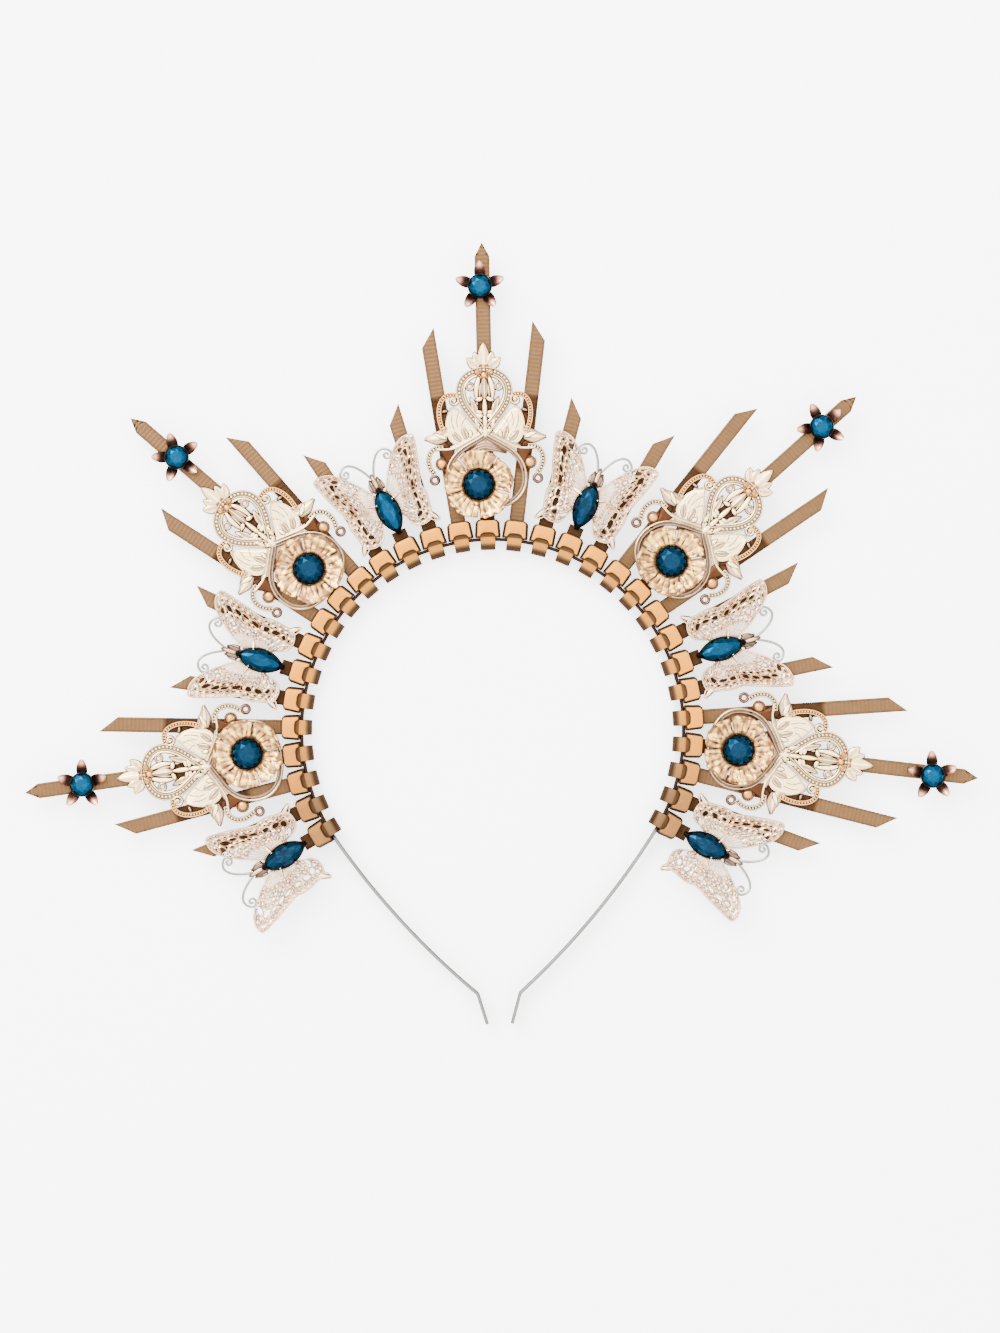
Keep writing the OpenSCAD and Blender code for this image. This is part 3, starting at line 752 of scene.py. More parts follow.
def tie_tail(length, cut, ridge_pitch, ridge_depth, shade_span):
    """A ridged tail along +Y from just inside the head's outer face. Across it, two smooth rims stand over
    a floor with ridges. The height of a ridge is a clipped triangle wave of the way along. Each row stops
    at the cut: y is the smaller of its own place and the cut's line at its x. Between the two radii that
    the last argument gives, where an ornament lies over it, the tail is painted dark as the ornament's
    shadow, and towards the head it is painted darker by a share, as painted shade."""
    h = STRAP_W / 2
    side = np.array([-h, -h + 0.12, -h + 0.3, -h + 0.52, -h + 0.62, -0.9, 0,
                     0.9, h - 0.62, h - 0.52, h - 0.3, h - 0.12, h, h - 0.15, -h + 0.15])
    rim = np.array([-0.45, -0.12, 0, 0, -0.26, -0.26, -0.26,
                    -0.26, -0.26, 0, 0, -0.12, -0.45, -STRAP_T, -STRAP_T])
    floor = np.isclose(rim, -0.26).astype(float)
    step = ridge_pitch * np.array([0, 0.3, 0.55, 0.85])
    y = -1.0 + (np.arange(int(length / ridge_pitch) + 2)[:, None] * ridge_pitch + step).ravel()
    if cut == 0:
        end = length - POINT_LEN * np.abs(side) / h
    else:
        end = length - CUT_LEN * (h - math.copysign(1, cut) * side) / (2 * h)
    y = np.minimum(y[:, None], end[None, :])
    phase = (y / ridge_pitch) % 1
    wave = np.clip(1.6 - 4 * np.abs(phase - 0.5), 0, 1)
    z = STRAP_TOP_Z + rim[None] + floor[None] * ridge_depth * wave
    grid = np.stack([np.broadcast_to(side, y.shape), y + HEAD_OUT_R, z], axis=-1)
    # Painted light and shade: the ridge crests and the rim tops are painted a little lighter, and the outer
    # edges, the underside and the rims' rounded shoulders darker
    tone = 0.42 + floor[None] * 0.08 * wave + (rim == 0)[None] * 0.04
    tone = np.where((rim < -0.4)[None] | (rim == -0.12)[None], 0.12, tone)
    r = y + HEAD_OUT_R
    # Painted shadow of the ornaments over the tail, and painted shade towards the head
    painted_shadow = np.clip((r - shade_span[0]) / 2, 0, 1) * np.clip((shade_span[1] - r) / 1.2, 0, 1)
    return skin(grid, tone * (1 - 0.86 * painted_shadow) * (1 - SHADE_BY_HEAD * np.clip((75 - r) / 6, 0, 1)))


def painted_shade_low_ties(shell, tie):
    """The shell with painted shade on the four lowest ties of each side: the tone falls by an even share
    from one tie to the next."""
    shell = shell.moved(shell.points)
    shell.tone *= np.clip(1 - 0.13 * (abs(tie) - 11), 0.6, 1)
    return shell


class HALO_OT_ties(bpy.types.Operator):
    """Makes the cable ties: heads, strap loops and ridged tails, some cut off at the head"""
    bl_idname = "halo.ties"
    bl_label = "Cable ties"

    def execute(self, context):
        sizes, colours = context.scene.halo_sizes, context.scene.halo_colours
        paint = finish("copper_paint", colours.tie_recess, colours.tie_tail, colours.tie_face,
                       metallic=0.6, roughness=0.42, spread=0.25, mottle=0.16, mottle_scale=420,
                       grain=2600, bump=0.25, specular=0.06, edge=colours.tie_recess)
        pitch, depth = sizes.ridge_pitch / MM, sizes.ridge_depth / MM
        body = together(tie_head(), tie_loop())
        for k, tie in enumerate(RAY_TIES):
            group, column = divmod(tie - PLAIN_TIES[0], TIES_PER_GROUP)
            column -= 1
            over = ORNAMENTS[group]["fil_r"]
            near, far = FILIGREE_SIDE_SHADE
            # Spans of painted shadow on the tails under the ornaments, for the long, medium and short rays
            shade_span = {0: (SHADE_FROM_R, over + FILIGREE_SHADE), 1: (over + near, over + far),
                       2: (SHADE_FROM_R, BUTTERFLY_R + BUTTERFLY_SHADE)}
            tail = tie_tail(REACH[group, column] - HEAD_OUT_R, -np.sign(column - 2), pitch, depth,
                            shade_span[abs(column - 2)])
            whole = together(painted_shade_low_ties(body, tie), turned(tail, LEAN[group, column], pivot=HEAD_OUT_R))
            make_piece(f"painted_tie_{k + 1:02d}", placed(whole, tie * PITCH, 0),
                       paint, [f"ray_tie_{k + 1:02d}"], merge=True)
        # The whole stub lies in painted shadow under its butterfly
        stub = tie_tail(STUB_LEN + CUT_LEN, 1, pitch, depth, (SHADE_FROM_R, 90.0))
        stub.points[:, 1] = np.minimum(stub.points[:, 1], HEAD_OUT_R + STUB_LEN)
        plain = together(*[placed(together(painted_shade_low_ties(body, tie), stub), tie * PITCH, 0)
                           for tie in PLAIN_TIES])
        make_piece("painted_plain_ties", plain, paint, ["plain_ties"], merge=True)
        return {"FINISHED"}


# Headband

def band_line():
    """Middle line of the strip: an arc of a circle over the ties, on each side a shallower arc that
    leaves it without a bend, and a straight leg. A short curve rounds the bend between the last two."""
    def on_circle(degrees, r):
        a = np.radians(degrees)
        return np.stack([r * np.sin(a), r * np.cos(a)], axis=-1)
    start = on_circle(BAND_END_ANGLE, BAND_R)
    chord = BEND - start
    turn = 2 * (180 - BAND_END_ANGLE - math.degrees(math.atan2(-chord[1], -chord[0])))
    arc_r = np.linalg.norm(chord) / 2 / math.sin(math.radians(turn / 2))
    middle = start - on_circle(BAND_END_ANGLE, arc_r)
    top = on_circle(np.linspace(0, BAND_END_ANGLE, 90), BAND_R)
    arc = middle + on_circle(BAND_END_ANGLE + turn * np.linspace(0, 0.985, 26), arc_r)
    leg = BEND + (BAND_TIP - BEND) * np.array([0.1, 0.5, 1.0])[:, None]
    corner = bezier(arc[-1], BEND, BEND, leg[0], 6)
    half = chain(top, arc, corner, leg)
    return np.concatenate([(half * [-1, 1])[::-1][:-1], half])


class HALO_OT_headband(bpy.types.Operator):
    """Makes the steel headband, a thin strip on edge with rounded edges"""
    bl_idname = "halo.headband"
    bl_label = "Headband"

    def execute(self, context):
        colours = context.scene.halo_colours
        # Painted light and shade: bright is the steel painted lit, and the deep colour is the ties' recess
        # copper, which paints the ties' shadow on the strip
        bright = tuple(min(1.0, 1.7 * c) for c in colours.steel)
        deep = tuple(colours.tie_recess)
        steel = finish("brushed_steel", deep, colours.steel, bright, metallic=1.0, roughness=0.34,
                       mottle=0.35, mottle_scale=90, grain=900, bump=0.12, edge=colours.steel)
        profile = strip_profile(BAND_T / 2, -BAND_W / 2, BAND_W / 2, 0.3)
        line = at_height(band_line(), BAND_MID_Z) + CENTRE
        x, y = (line - CENTRE)[:, :2].T
        # Painted shadow and light: where the strip runs under the ties it is all in the deep colour, and
        # past them its upward edge is painted lighter than its sides
        clear_of_tie_shadow = np.clip(np.degrees(np.arctan2(np.abs(x), y)) - BAND_END_ANGLE + 1, 0, 1)[:, None]
        front = (profile[:, 1] > BAND_W / 2 - 0.1)[None]
        shell = carried(line, profile, tone=-0.2 + clear_of_tie_shadow * (0.58 + 0.37 * front))
        make_piece("steel_headband", shell, steel, ["headband"])
        return {"FINISHED"}


# Filigree

def beaded_line(path, width, wire_r, bead_r, closed, z=ORNAMENT_Z, tone=0.8, bed=0.06):
    """A flat strip with a thin wire along each edge and a row of beads between them. bed is the strip's
    tone, painted dark as shade between the wires and beads."""
    line = at_height(path, z + 0.4)
    base = carried(line, strip_profile(0.5 * (width + 0.15), -0.4, 0.3, 0.12, 2), closed=closed, tone=bed)
    edge = width / 2 - wire_r * 0.9
    rims = [wire(at_height(beside(path, s * edge, closed), z + 0.92), wire_r, 6, closed, tone)
            for s in (-1, 1)]
    loop = np.concatenate([path, path[:1]]) if closed else path
    seats = spaced(loop, 2.6 * bead_r)
    seats = seats[:-1] if closed else seats
    return together(base, *rims, balls(at_height(seats, z + 0.93), bead_r, 0.85, 8, 3, tone + 0.12))


def eyelet(at, r, wire_r, z, tone=0.85):
    """A ring of round wire that lies flat."""
    loop = circle(r - wire_r, 20) + np.asarray(at)
    return wire(at_height(loop, z + wire_r), wire_r, 8, closed=True, tone=tone, foot=0.15)


def spiral(at, r, start, turns, steps=26):
    """A curl: the radius falls evenly from r to a quarter of it while the angle runs from start."""
    t = np.linspace(0, 1, steps)
    a = math.radians(start) + 2 * np.pi * turns * t
    reach = r * (1 - 0.75 * t)
    return np.asarray(at) + np.stack([reach * np.cos(a), reach * np.sin(a)], axis=1)


def scored(corners, z):
    """An engraved line: a hair of dark wire along some corners, just proud of the face that it lies on."""
    return wire(at_height(eased(corners, 9), z), 0.12, 4, tone=0.35)


def pear_loop():
    """Right half of the middle line of the pear-shaped loop, from its foot to its top."""
    return chain(bezier([0, 14.4], [2.5, 19], [8, 22.5], [8, 28.4], 20),
                 bezier([8, 28.4], [8, 32.2], [4.5, 35], [0, 35], 16))


def ring_and_pear(wire_r, bead_r):
    """The drop-shaped ring of two wires on a strip painted dark as shade, the ribbed web in its apex, and
    the beaded pear-shaped loop over it."""
    z = ORNAMENT_Z
    ring = full_loop(chain(bezier([0, 14.2], [3.5, 11.2], [12.3, 9.5], [12.3, 0.5], 22),
                           bezier([12.3, 0.5], [12.3, -6], [7, -8.8], [0, -8.8], 18)))
    flat = strip_profile(0.95, -0.45, 0.2, 0.15, 2)
    return together(
        carried(at_height(ring, z + 0.45), flat, closed=True, tone=0.2),
        blade([[-6.9, 8.8], [-3.4, 11.3], [0, 13.4], [3.4, 11.3], [6.9, 8.8]],
              [[-6.6, 8.0], [-3.3, 8.8], [0, 9.2], [3.3, 8.8], [6.6, 8.0]],
              17, z, 0.45, crown=0.1, veins=4, depth=0.12, tone=(0.25, 0.55), skirt=0.05),
        wire(at_height(beside(ring, 0.4, True), z + 0.95), 0.34, 8, True, 0.7),
        wire(at_height(beside(ring, -0.5, True), z + 0.85), wire_r * 0.9, 6, True, 0.52),
        beaded_line(full_loop(pear_loop()), 2.1, wire_r * 0.9, bead_r, True, tone=0.76, bed=0.3))


def inside_pear(wire_r):
    """Right half of the lattice inside the pear: a smooth wire along the beads, an eyelet on it, petals
    that join it to the column and leave two gaps shaped like diamonds, and a near-black leaf over the lower
    gap as painted shade."""
    z = ORNAMENT_Z
    inner = beside(pear_loop(), 1.5)
    inner = spaced(inner[(inner[:, 0] > 0.9) & (inner[:, 1] > 16)], 0.8)

    def petal(start, tip, half_width, bend, **form):
        return pointed_leaf(start, tip, half_width, bend, steps=9, z=z + 0.05, t=0.7, crown=0.35, **form)
    return together(
        wire(at_height(inner, z + 0.8), wire_r * 1.15, 8, tone=0.95, foot=0.25),
        eyelet([4.6, 29.8], 1.45, 0.36, z + 0.2, tone=0.62),
        balls([4.6, 29.8, z + 0.5], 0.36, 0.9, 8, 3, 0.9),
        carried(at_height(np.array([[5.7, 29.8], [6.2, 29.9], [6.7, 30.0]]), z + 0.4), circle(0.3, 6)),
        petal([1.2, 33.6], [2.4, 24.6], 0.85, 0.75, tone=(0.2, 0.95)),
        petal([0.9, 31.4], [1.7, 25.2], 0.42, 0.1, tone=(0.1, 0.7)),
        petal([2.7, 20.2], [4.6, 26.6], 1.0, 0.25, veins=1, depth=0.2, tone=(0.3, 0.95)),
        petal([0.5, 26.2], [3.3, 25.2], 0.75, -0.1, tone=(0.25, 0.95)),
        petal([0.5, 21.2], [3.4, 21.9], 0.65, 0.0, tone=(0.25, 0.95)),
        # A near-black leaf over the lower gap: painted shade where the shadowed tie behind shows through
        pointed_leaf([1.3, 16.2], [1.4, 19.4], 0.62, steps=8, z=z + 0.85, t=0.2, crown=0.05,
                     tone=(0.0, 0.03)),
        petal([0.4, 20.3], [3.5, 20.7], 0.8, -0.1, tone=(0.25, 0.95)),
        petal([1.9, 15.8], [3.6, 20.4], 0.65, 0.1, tone=(0.3, 0.95)),
        petal([0.3, 15.2], [2.6, 16.0], 0.75, 0.0, tone=(0.25, 0.9)))


def column():
    """The column up the middle of the pear: three slim petals end to end and a veined one that widens
    under the knot."""
    z = ORNAMENT_Z + 0.1
    form = dict(z=z, t=0.7, crown=0.5, tone=(0.25, 0.95))
    return together(
        pointed_leaf([0, 13.6], [0, 17.4], 1.0, **form),
        pointed_leaf([0, 16.4], [0, 21.4], 0.85, **form),
        pointed_leaf([0, 19.8], [0, 26.8], 0.85, **form),
        pointed_leaf([0, 25.2], [0, 34.0], 1.15, veins=2, depth=0.25, **form))


def knot_half():
    """Right half of the knot of copper lobes on the pear's top."""
    z = ORNAMENT_Z
    return together(
        balls([2.1, 34.3, z + 0.55], 1.5, 0.6, 16, 6, 0.6),
        wire(at_height(spiral([2.1, 34.3], 1.2, 200, -0.8, 14), z + 1.3), 0.18, 5, tone=0.8),
        balls([[0.9, 32.6, z + 0.8], [2.5, 36.3, z + 0.5], [3.9, 35.9, z + 0.4], [1.0, 36.4, z + 0.6]],
              [0.75, 0.6, 0.5, 0.7], 0.75, 10, 4, 0.55))


def lily_half():
    """Right half of the lily that stands on the knot, without its middle leaf."""
    z = ORNAMENT_Z
    form = dict(z=z, t=0.65, crown=0.35, veins=1, depth=0.1, steps=10, tone=(0.45, 1.1))
    return together(
        pointed_leaf([1.3, 35.8], [5.5, 39.0], 1.5, bend=-0.3, **form),
        pointed_leaf([0.9, 35.9], [3.0, 41.0], 1.35, bend=-0.3, **form),
        pointed_leaf([1.6, 36.1], [4.4, 37.3], 0.6, **form))


def broad_leaf_half():
    """Right broad leaf: a flat white blade with fine flutes along it, a tulip of three petals at its foot
    and a second, narrow leaf between it and the ring."""
    z = ORNAMENT_Z
    form = dict(z=z + 0.55, t=0.4, crown=0.3, steps=9, tone=(0.15, 0.98), skirt=0.25)
    return together(
        blade([[2.4, 15.2], [5.0, 18.6], [7.4, 21.4], [10.2, 23.6]],
              [[8.0, 10.9], [11.3, 11.8], [12.9, 16.4], [12.3, 20.4], [10.8, 23.4]],
              14, z, 0.62, crown=0.25, veins=7, depth=0.09, tone=(0.65, 1.1)),
        blade([[1.0, 13.9], [4.6, 11.8], [8.8, 9.4]], [[2.4, 15.3], [6.4, 13.0], [11.4, 10.6]],
              11, z, 0.7, crown=0.4, veins=2, depth=0.2, tone=(0.35, 0.92)),
        pointed_leaf([5.9, 12.6], [7.4, 17.4], 0.95, bend=0.1, veins=1, **form),
        pointed_leaf([4.9, 13.2], [4.7, 16.2], 0.7, bend=0.1, **form),
        pointed_leaf([7.6, 12.2], [10.8, 15.8], 0.9, bend=-0.2, veins=1, **form),
        scored([[8.4, 21.6], [9.2, 19.0], [8.8, 17.0]], z + 0.86),
        scored([[10.6, 20.8], [10.8, 18.4], [10.0, 16.2]], z + 0.84),
        scored([[6.2, 19.6], [7.2, 18.4], [7.4, 17.4]], z + 0.84))


def side_half(wire_r, bead_r):
    """Right outer parts: the coil of the scroll, its two struts, the side leaf, the bar under it, the
    beaded crescent round the ball and the eyelet that it ends in."""
    z = ORNAMENT_Z
    crescent = bezier([13.8, 10.4], [18.8, 10.9], [19.7, 5.0], [16.4, 1.9], 22)
    return together(
        wire(at_height(spiral([9.9, 25.4], 1.7, 120, 1.25), z + 0.85), 0.36, 8, tone=0.8, foot=0.2),
        balls([9.9, 25.4, z + 0.6], 0.6, 0.9, 10, 4, 0.9),
        pointed_leaf([11.6, 22.4], [14.4, 21.6], 0.5, z=z, t=0.7, crown=0.4, steps=7, tone=(0.1, 0.5)),
        pointed_leaf([12.0, 17.0], [14.4, 16.0], 0.7, z=z, t=0.7, crown=0.4, steps=7, tone=(0.1, 0.55)),
        blade([[12.0, 16.6], [15.4, 15.8], [17.4, 14.4], [19.5, 13.6]],
              [[12.4, 12.6], [15.4, 11.2], [17.6, 12.2], [19.6, 13.0]],
              14, z, 0.6, crown=0.4, veins=2, depth=0.2, tone=(0.3, 1.0)),
        pointed_leaf([12.2, 13.2], [16.8, 15.0], 0.8, z=z + 0.5, t=0.4, crown=0.4, tone=(0.15, 1.0)),
        wire(at_height(eased([[9.4, 10.4], [11.8, 9.8], [15.4, 9.9]], 9), z + 0.75), 0.42, 8,
             tone=0.85, foot=0.2),
        beaded_line(crescent, 1.6, wire_r * 0.85, bead_r * 0.8, False, tone=0.75),
        eyelet([16.5, 0.1], 1.65, 0.4, z, tone=0.17))


def copper_half(wire_r, bead_r):
    """Right half of the copper parts: the knot, the coiled scroll, the recess under the side leaf and the
    funnel below it, both near-black blades of painted shade, the ball in its collar, and a small dark ball."""
    z = ORNAMENT_Z
    scroll = bezier([9.0, 26.9], [14.8, 28.8], [16.2, 21.0], [13.0, 14.8], 24)
    ball = balls([14.1, 5.2, z + 0.5], 1.75, 0.6, 18, 7, 2.0)
    ball.tone = np.minimum(ball.tone, 0.74)
    return together(
        knot_half(),
        beaded_line(scroll, 1.5, wire_r * 0.85, bead_r * 0.75, False, tone=0.9),
        # The recess under the side leaf: a near-black blade of painted shade
        blade([[11.6, 10.6], [12.2, 11.6], [13.0, 12.4]], [[14.8, 10.6], [14.0, 11.6], [13.2, 12.4]],
              6, z, 0.5, crown=0.1, tone=(0.0, 0.04)),
        # The funnel: a dark blade of painted shade, where the ray behind lies in shadow
        blade([[10.0, 9.6], [10.4, 7.6], [11.7, 5.0]], [[15.0, 9.8], [13.8, 8.0], [12.5, 5.2]],
              8, z, 0.75, crown=0.3, tone=(0.0, 0.08)),
        ball,
        wire(at_height(circle(1.95, 26) + [14.1, 5.2], z + 0.5), 0.2, 6, True, 0.4),
        balls([12.7, 2.9, z + 0.5], 0.95, 0.7, 10, 4, 0.06))


def filigree(wire_r, bead_r):
    """One filigree about its ring's middle, with its tip along +Y: its pale parts and its copper parts."""
    z = ORNAMENT_Z
    half = together(inside_pear(wire_r), lily_half(), broad_leaf_half(), side_half(wire_r, bead_r))
    tip = pointed_leaf([0, 35.4], [0, 44], 1.75, steps=14, z=z + 0.1, t=0.65, crown=0.35, veins=2,
                       depth=0.12, tone=(0.5, 1.1))
    boss = balls([[0, 33.4, z + 0.7], [0, 36.0, z + 0.7]], [1.3, 0.9], 0.75, 14, 5, 0.8)
    return (together(ring_and_pear(wire_r, bead_r), column(), tip, on_both_sides(half)),
            together(boss, on_both_sides(copper_half(wire_r, bead_r))))


class HALO_OT_filigree(bpy.types.Operator):
    """Makes the five filigrees: beaded and plain wire lines, ribbed leaves, eyelets and a finial"""
    bl_idname = "halo.filigree"
    bl_label = "Filigree"

    def execute(self, context):
        sizes, colours = context.scene.halo_sizes, context.scene.halo_colours
        metal = finish("rose_gold_plate", colours.cast_deep, colours.cast_middle, colours.cast_bright,
                       metallic=0.9, roughness=0.27, mottle=0.25, mottle_scale=650, grain=2200, bump=0.12,
                       specular=0.1, edge=(0.5, 0.3, 0.2))
        copper = finish("copper_plate", colours.copper_deep, colours.copper_middle, colours.copper_bright,
                        metallic=0.95, roughness=0.3, mottle=0.2, mottle_scale=500, grain=2200, bump=0.15,
                        specular=0.1, edge=(0.5, 0.25, 0.14))
        pale, warm = filigree(sizes.wire_radius / MM, sizes.bead_radius / MM)
        for g, row in enumerate(ORNAMENTS):
            shell = placed(together(pale, warm), group_angle(g), row["fil_r"], turn=row["fil_lean"])
            obj = make_piece(f"cast_filigree_{g + 1}", shell, metal,
                             [f"filigree_{g + 1}"])
            paint_last_faces(obj, (warm, copper))
        return {"FINISHED"}


# Flowers

def bumps(x, y, seed, waves=12, shortest=1.4, longest=4.5):
    """Smooth seeded bumps over a plane, mostly between -1 and 1: a sum of level waves that run in drawn
    directions, with lengths between the shortest and the longest."""
    chance = np.random.default_rng(seed)
    way, start = chance.uniform(0, 2 * np.pi, (2, waves))
    pace = 2 * np.pi / chance.uniform(shortest, longest, waves)
    wave = np.sin(x[..., None] * pace * np.cos(way) + y[..., None] * pace * np.sin(way) + start)
    return wave.sum(axis=-1) / np.sqrt(waves)


def crumpled_petal(centre_angle, crumple, slit, seed):
    """One petal of a flower, about the flower's middle. Its outline leaves the root as a fan, whose sides
    stay half a slit from the line between two petals, and ends in a flattened round lobe. Its height is a
    cone's slope, plus seeded bumps, less narrow creases where a third set of bumps crosses zero, and less
    the folds of the gathers by the cup, which follow the sine of the angle. Creases, folds, the rim, the
    root by the cup and the underside are painted dark as shade, and each petal gets its own seeded tone."""
    rows, cols = 25, 45
    s = np.linspace(0, 1, rows)[:, None]
    u = np.linspace(-1, 1, cols)[None]
    sector = np.pi / PETALS
    middle = FLOWER_R - PETAL_LOBE_R
    off = u * sector
    reach = middle * np.cos(off) + np.sqrt(PETAL_LOBE_R ** 2 - (middle * np.sin(off)) ** 2)
    reach = 0.45 * reach + 0.55 * (FLOWER_R + 0.35)
    ragged = 0.22 * bumps(7 * u, 0 * u, seed + 3)
    r = PETAL_ROOT_R + (reach - 0.1 + ragged - PETAL_ROOT_R) * s
    gap = slit / 2 * (0.3 + 1.1 * s) + 0.1 * bumps(3 * s, 0 * s, seed + 4)
    angle = math.radians(centre_angle) + u * (sector - np.arcsin(np.clip(gap / r, 0, 0.5)))
    x, y = r * np.sin(angle), r * np.cos(angle)
    fine, broad = bumps(x, y, seed), bumps(x, y, seed + 1, shortest=3.5, longest=9)
    crease = np.clip(1 - np.abs(bumps(x, y, seed + 2, shortest=2.5, longest=7)) / 0.16, 0, 1)
    crease = crease * np.clip(0.5 + 0.8 * broad, 0, 1)
    fold = (1 - np.abs(np.sin(GATHERS / 2 * angle + 0.4 * broad))) ** 2 * np.clip((11.8 - r) / 4.5, 0, 1)
    z = FLOWER_Z + 0.75 + PETAL_RISE * (r - 4) / (FLOWER_R - 4)
    z = z + crumple * (0.45 * fine + 0.5 * broad - 0.9 * crease - fold) * np.clip(3 * s, 0.2, 1)
    rim = np.minimum((1 - s) * (reach - PETAL_ROOT_R), (1 - np.abs(u)) * r * sector) / 0.5
    own = np.random.default_rng(seed).uniform(-0.2, 0.06)
    # Painted shade in creases and folds, along the rim and at the root by the cup
    shade = 0.82 + 0.17 * fine + 0.12 * broad - 0.6 * crease - 0.5 * fold + own
    shade = shade * np.clip(0.35 + 0.65 * rim, 0, 1) * np.clip(0.3 + (r - 5.3) / 0.6, 0, 1)
    top = np.stack([x, y, z], axis=-1)
    low = top[:, ::-4] - [0, 0, 0.55]
    shade = np.concatenate([np.clip(shade, 0.02, 1), np.full(low.shape[:2], 0.12)], axis=1)
    return skin(np.concatenate([top, low], axis=1), shade)


def pronged_cup(r, z, height, prongs, wall=CUP_WALL, lip=0.45):
    """A round cup with a floor. Its rim stands high at each prong and low between: the height is a cosine
    round the cup, cut off at both ends. Each prong's lip leans inward over the stone."""
    around = prongs * 10
    a = np.arange(around) * 2 * np.pi / around
    high = np.clip(0.5 + 1.4 * np.cos(prongs * a), 0, 1)
    top = z + height * (0.72 + 0.28 * high)
    lean = lip * high
    return skin(rings([
        (0.55 * r, z), (0.93 * r, z), (r, z + 0.35), (r, top - 0.35), (r - 0.12 - 0.5 * lean, top - 0.05),
        (r - 0.35 - lean, top), (r - wall - 0.7 * lean, top - 0.3), (r - wall - 0.02, z + height * 0.55),
        (r - wall - 0.1, z + height / 3)], a), 0)


class HALO_OT_flowers(bpy.types.Operator):
    """Makes the five flowers: five crumpled petals round a dark cup, on a foot"""
    bl_idname = "halo.flowers"
    bl_label = "Flowers"

    def execute(self, context):
        sizes, colours = context.scene.halo_sizes, context.scene.halo_colours
        gold = finish("champagne_petals", colours.petal_deep, colours.petal_middle, colours.petal_bright,
                      metallic=0.85, roughness=0.3, mottle=0.3, mottle_scale=420, grain=2000, bump=0.18,
                      specular=0.1, edge=(0.5, 0.27, 0.16))
        foot = rings([(2.3, 8.0), (2.6, 8.3), (2.6, 9.8), (6.2, 9.9), (6.4, 10.1), (6.2, 10.3)],
                     np.arange(30) * np.pi / 15)
        cup = pronged_cup(ROUND_STONE_R + 0.6, FLOWER_Z + 0.2, 3.3, 12)
        for g, row in enumerate(ORNAMENTS):
            petals = [crumpled_petal(360 / PETALS * k, sizes.crumple / MM, sizes.petal_slit / MM,
                                     seed=500 + 50 * g + 10 * k) for k in range(PETALS)]
            # The foot under the petals is painted dark, as shade
            shape = together(*petals, skin(foot, 0.1), cup)
            obj = make_piece(f"crumpled_flower_{g + 1}",
                             placed(shape, group_angle(g), row["flower_r"], x=row["flower_x"]),
                             gold, [f"flower_setting_{g + 1}"])
            paint_last_faces(obj, (cup, dark_metal(colours)))
        return {"FINISHED"}


def paint_last_faces(obj, *coats):
    """Gives the shells that were joined on last their own materials. A coat is a shell and its material,
    and the coats come in the order in which the shells were joined."""
    mesh = obj.data
    start = len(mesh.vertices) - sum(len(shell.points) for shell, _ in coats)
    corners = np.empty(len(mesh.loops), np.int32)
    mesh.loops.foreach_get("vertex_index", corners)
    starts = np.empty(len(mesh.polygons), np.int32)
    mesh.polygons.foreach_get("loop_start", starts)
    which = np.zeros(len(starts), np.int32)
    for k, (shell, material) in enumerate(coats):
        mesh.materials.append(material)
        which[corners[starts] >= start] = k + 1
        start += len(shell.points)
    mesh.polygons.foreach_set("material_index", which)


def dark_metal(colours):
    """The oxidised brown-black of cups and prongs."""
    deep = tuple(0.5 * c for c in colours.cup_dark)
    bright = tuple(min(1.0, 9 * c) for c in colours.cup_dark)
    return finish("oxidised_cup", deep, colours.cup_dark, bright, metallic=1.0, roughness=0.32,
                  mottle=0.3, mottle_scale=500, grain=1800, bump=0.2)


# Stars

def star_petal():
    """A cupped petal along +Y: its half width swells and closes like a sine, its floor rises outwards, and
    its two edges roll up by the square of the way across. It is dark inside and bright only on its tip and,
    as painted light, along its rolled edges, and its underside is painted darker as shade."""
    s = np.linspace(0, 1, 16)[:, None]
    v = np.linspace(-1, 1, 11)[None]
    y = 3.4 + (STAR_R - 3.4) * s
    half = 0.35 + 1.45 * np.sin(np.pi * (0.3 + 0.7 * s)) ** 0.8
    half[-1] = 0.12
    x = half * v
    z = ORNAMENT_Z + 0.12 + 1.25 * s ** 1.4 + 0.7 * v ** 2 * np.sin(np.pi * (0.15 + 0.8 * s))
    top = np.stack([x, y + 0 * v, z + 0.45], axis=-1)
    low = np.stack([x, y + 0 * v, z], axis=-1)[:, ::-1]
    edges = 0.35 * v ** 4 * np.clip(s * 3, 0, 1) * np.clip(4 - 4 * s, 0, 1)
    bright = np.clip((s - 0.42) / 0.3, 0, 1) + edges
    bright = np.clip(bright * (1 - 0.25 * v ** 2), 0.02, 1)
    shade = np.concatenate([bright, 0.3 * bright], axis=1)
    return skin(np.concatenate([top, low], axis=1), shade)


class HALO_OT_stars(bpy.types.Operator):
    """Makes the five star settings: cupped petals round a dark cup"""
    bl_idname = "halo.stars"
    bl_label = "Star settings"

    def execute(self, context):
        colours = context.scene.halo_colours
        copper = finish("pink_copper_petals", colours.cup_dark, colours.star_middle, colours.star_bright,
                        metallic=0.9, roughness=0.28, mottle=0.25, mottle_scale=500, grain=2000, bump=0.15,
                        specular=0.1)
        petal = star_petal()
        petals = together(*[turned(petal, 72 * k) for k in range(5)])
        cup = pronged_cup(STAR_STONE_R + 0.55, ORNAMENT_Z, 2.8, 5, wall=0.42, lip=0.3)
        for g, row in enumerate(ORNAMENTS):
            shell = placed(together(petals, cup), group_angle(g), row["star_r"], x=row["star_x"],
                           turn=row["star_turn"])
            obj = make_piece(f"star_petals_{g + 1}", shell, copper, [f"star_setting_{g + 1}"])
            paint_last_faces(obj, (cup, dark_metal(colours)))
        return {"FINISHED"}


# Butterflies

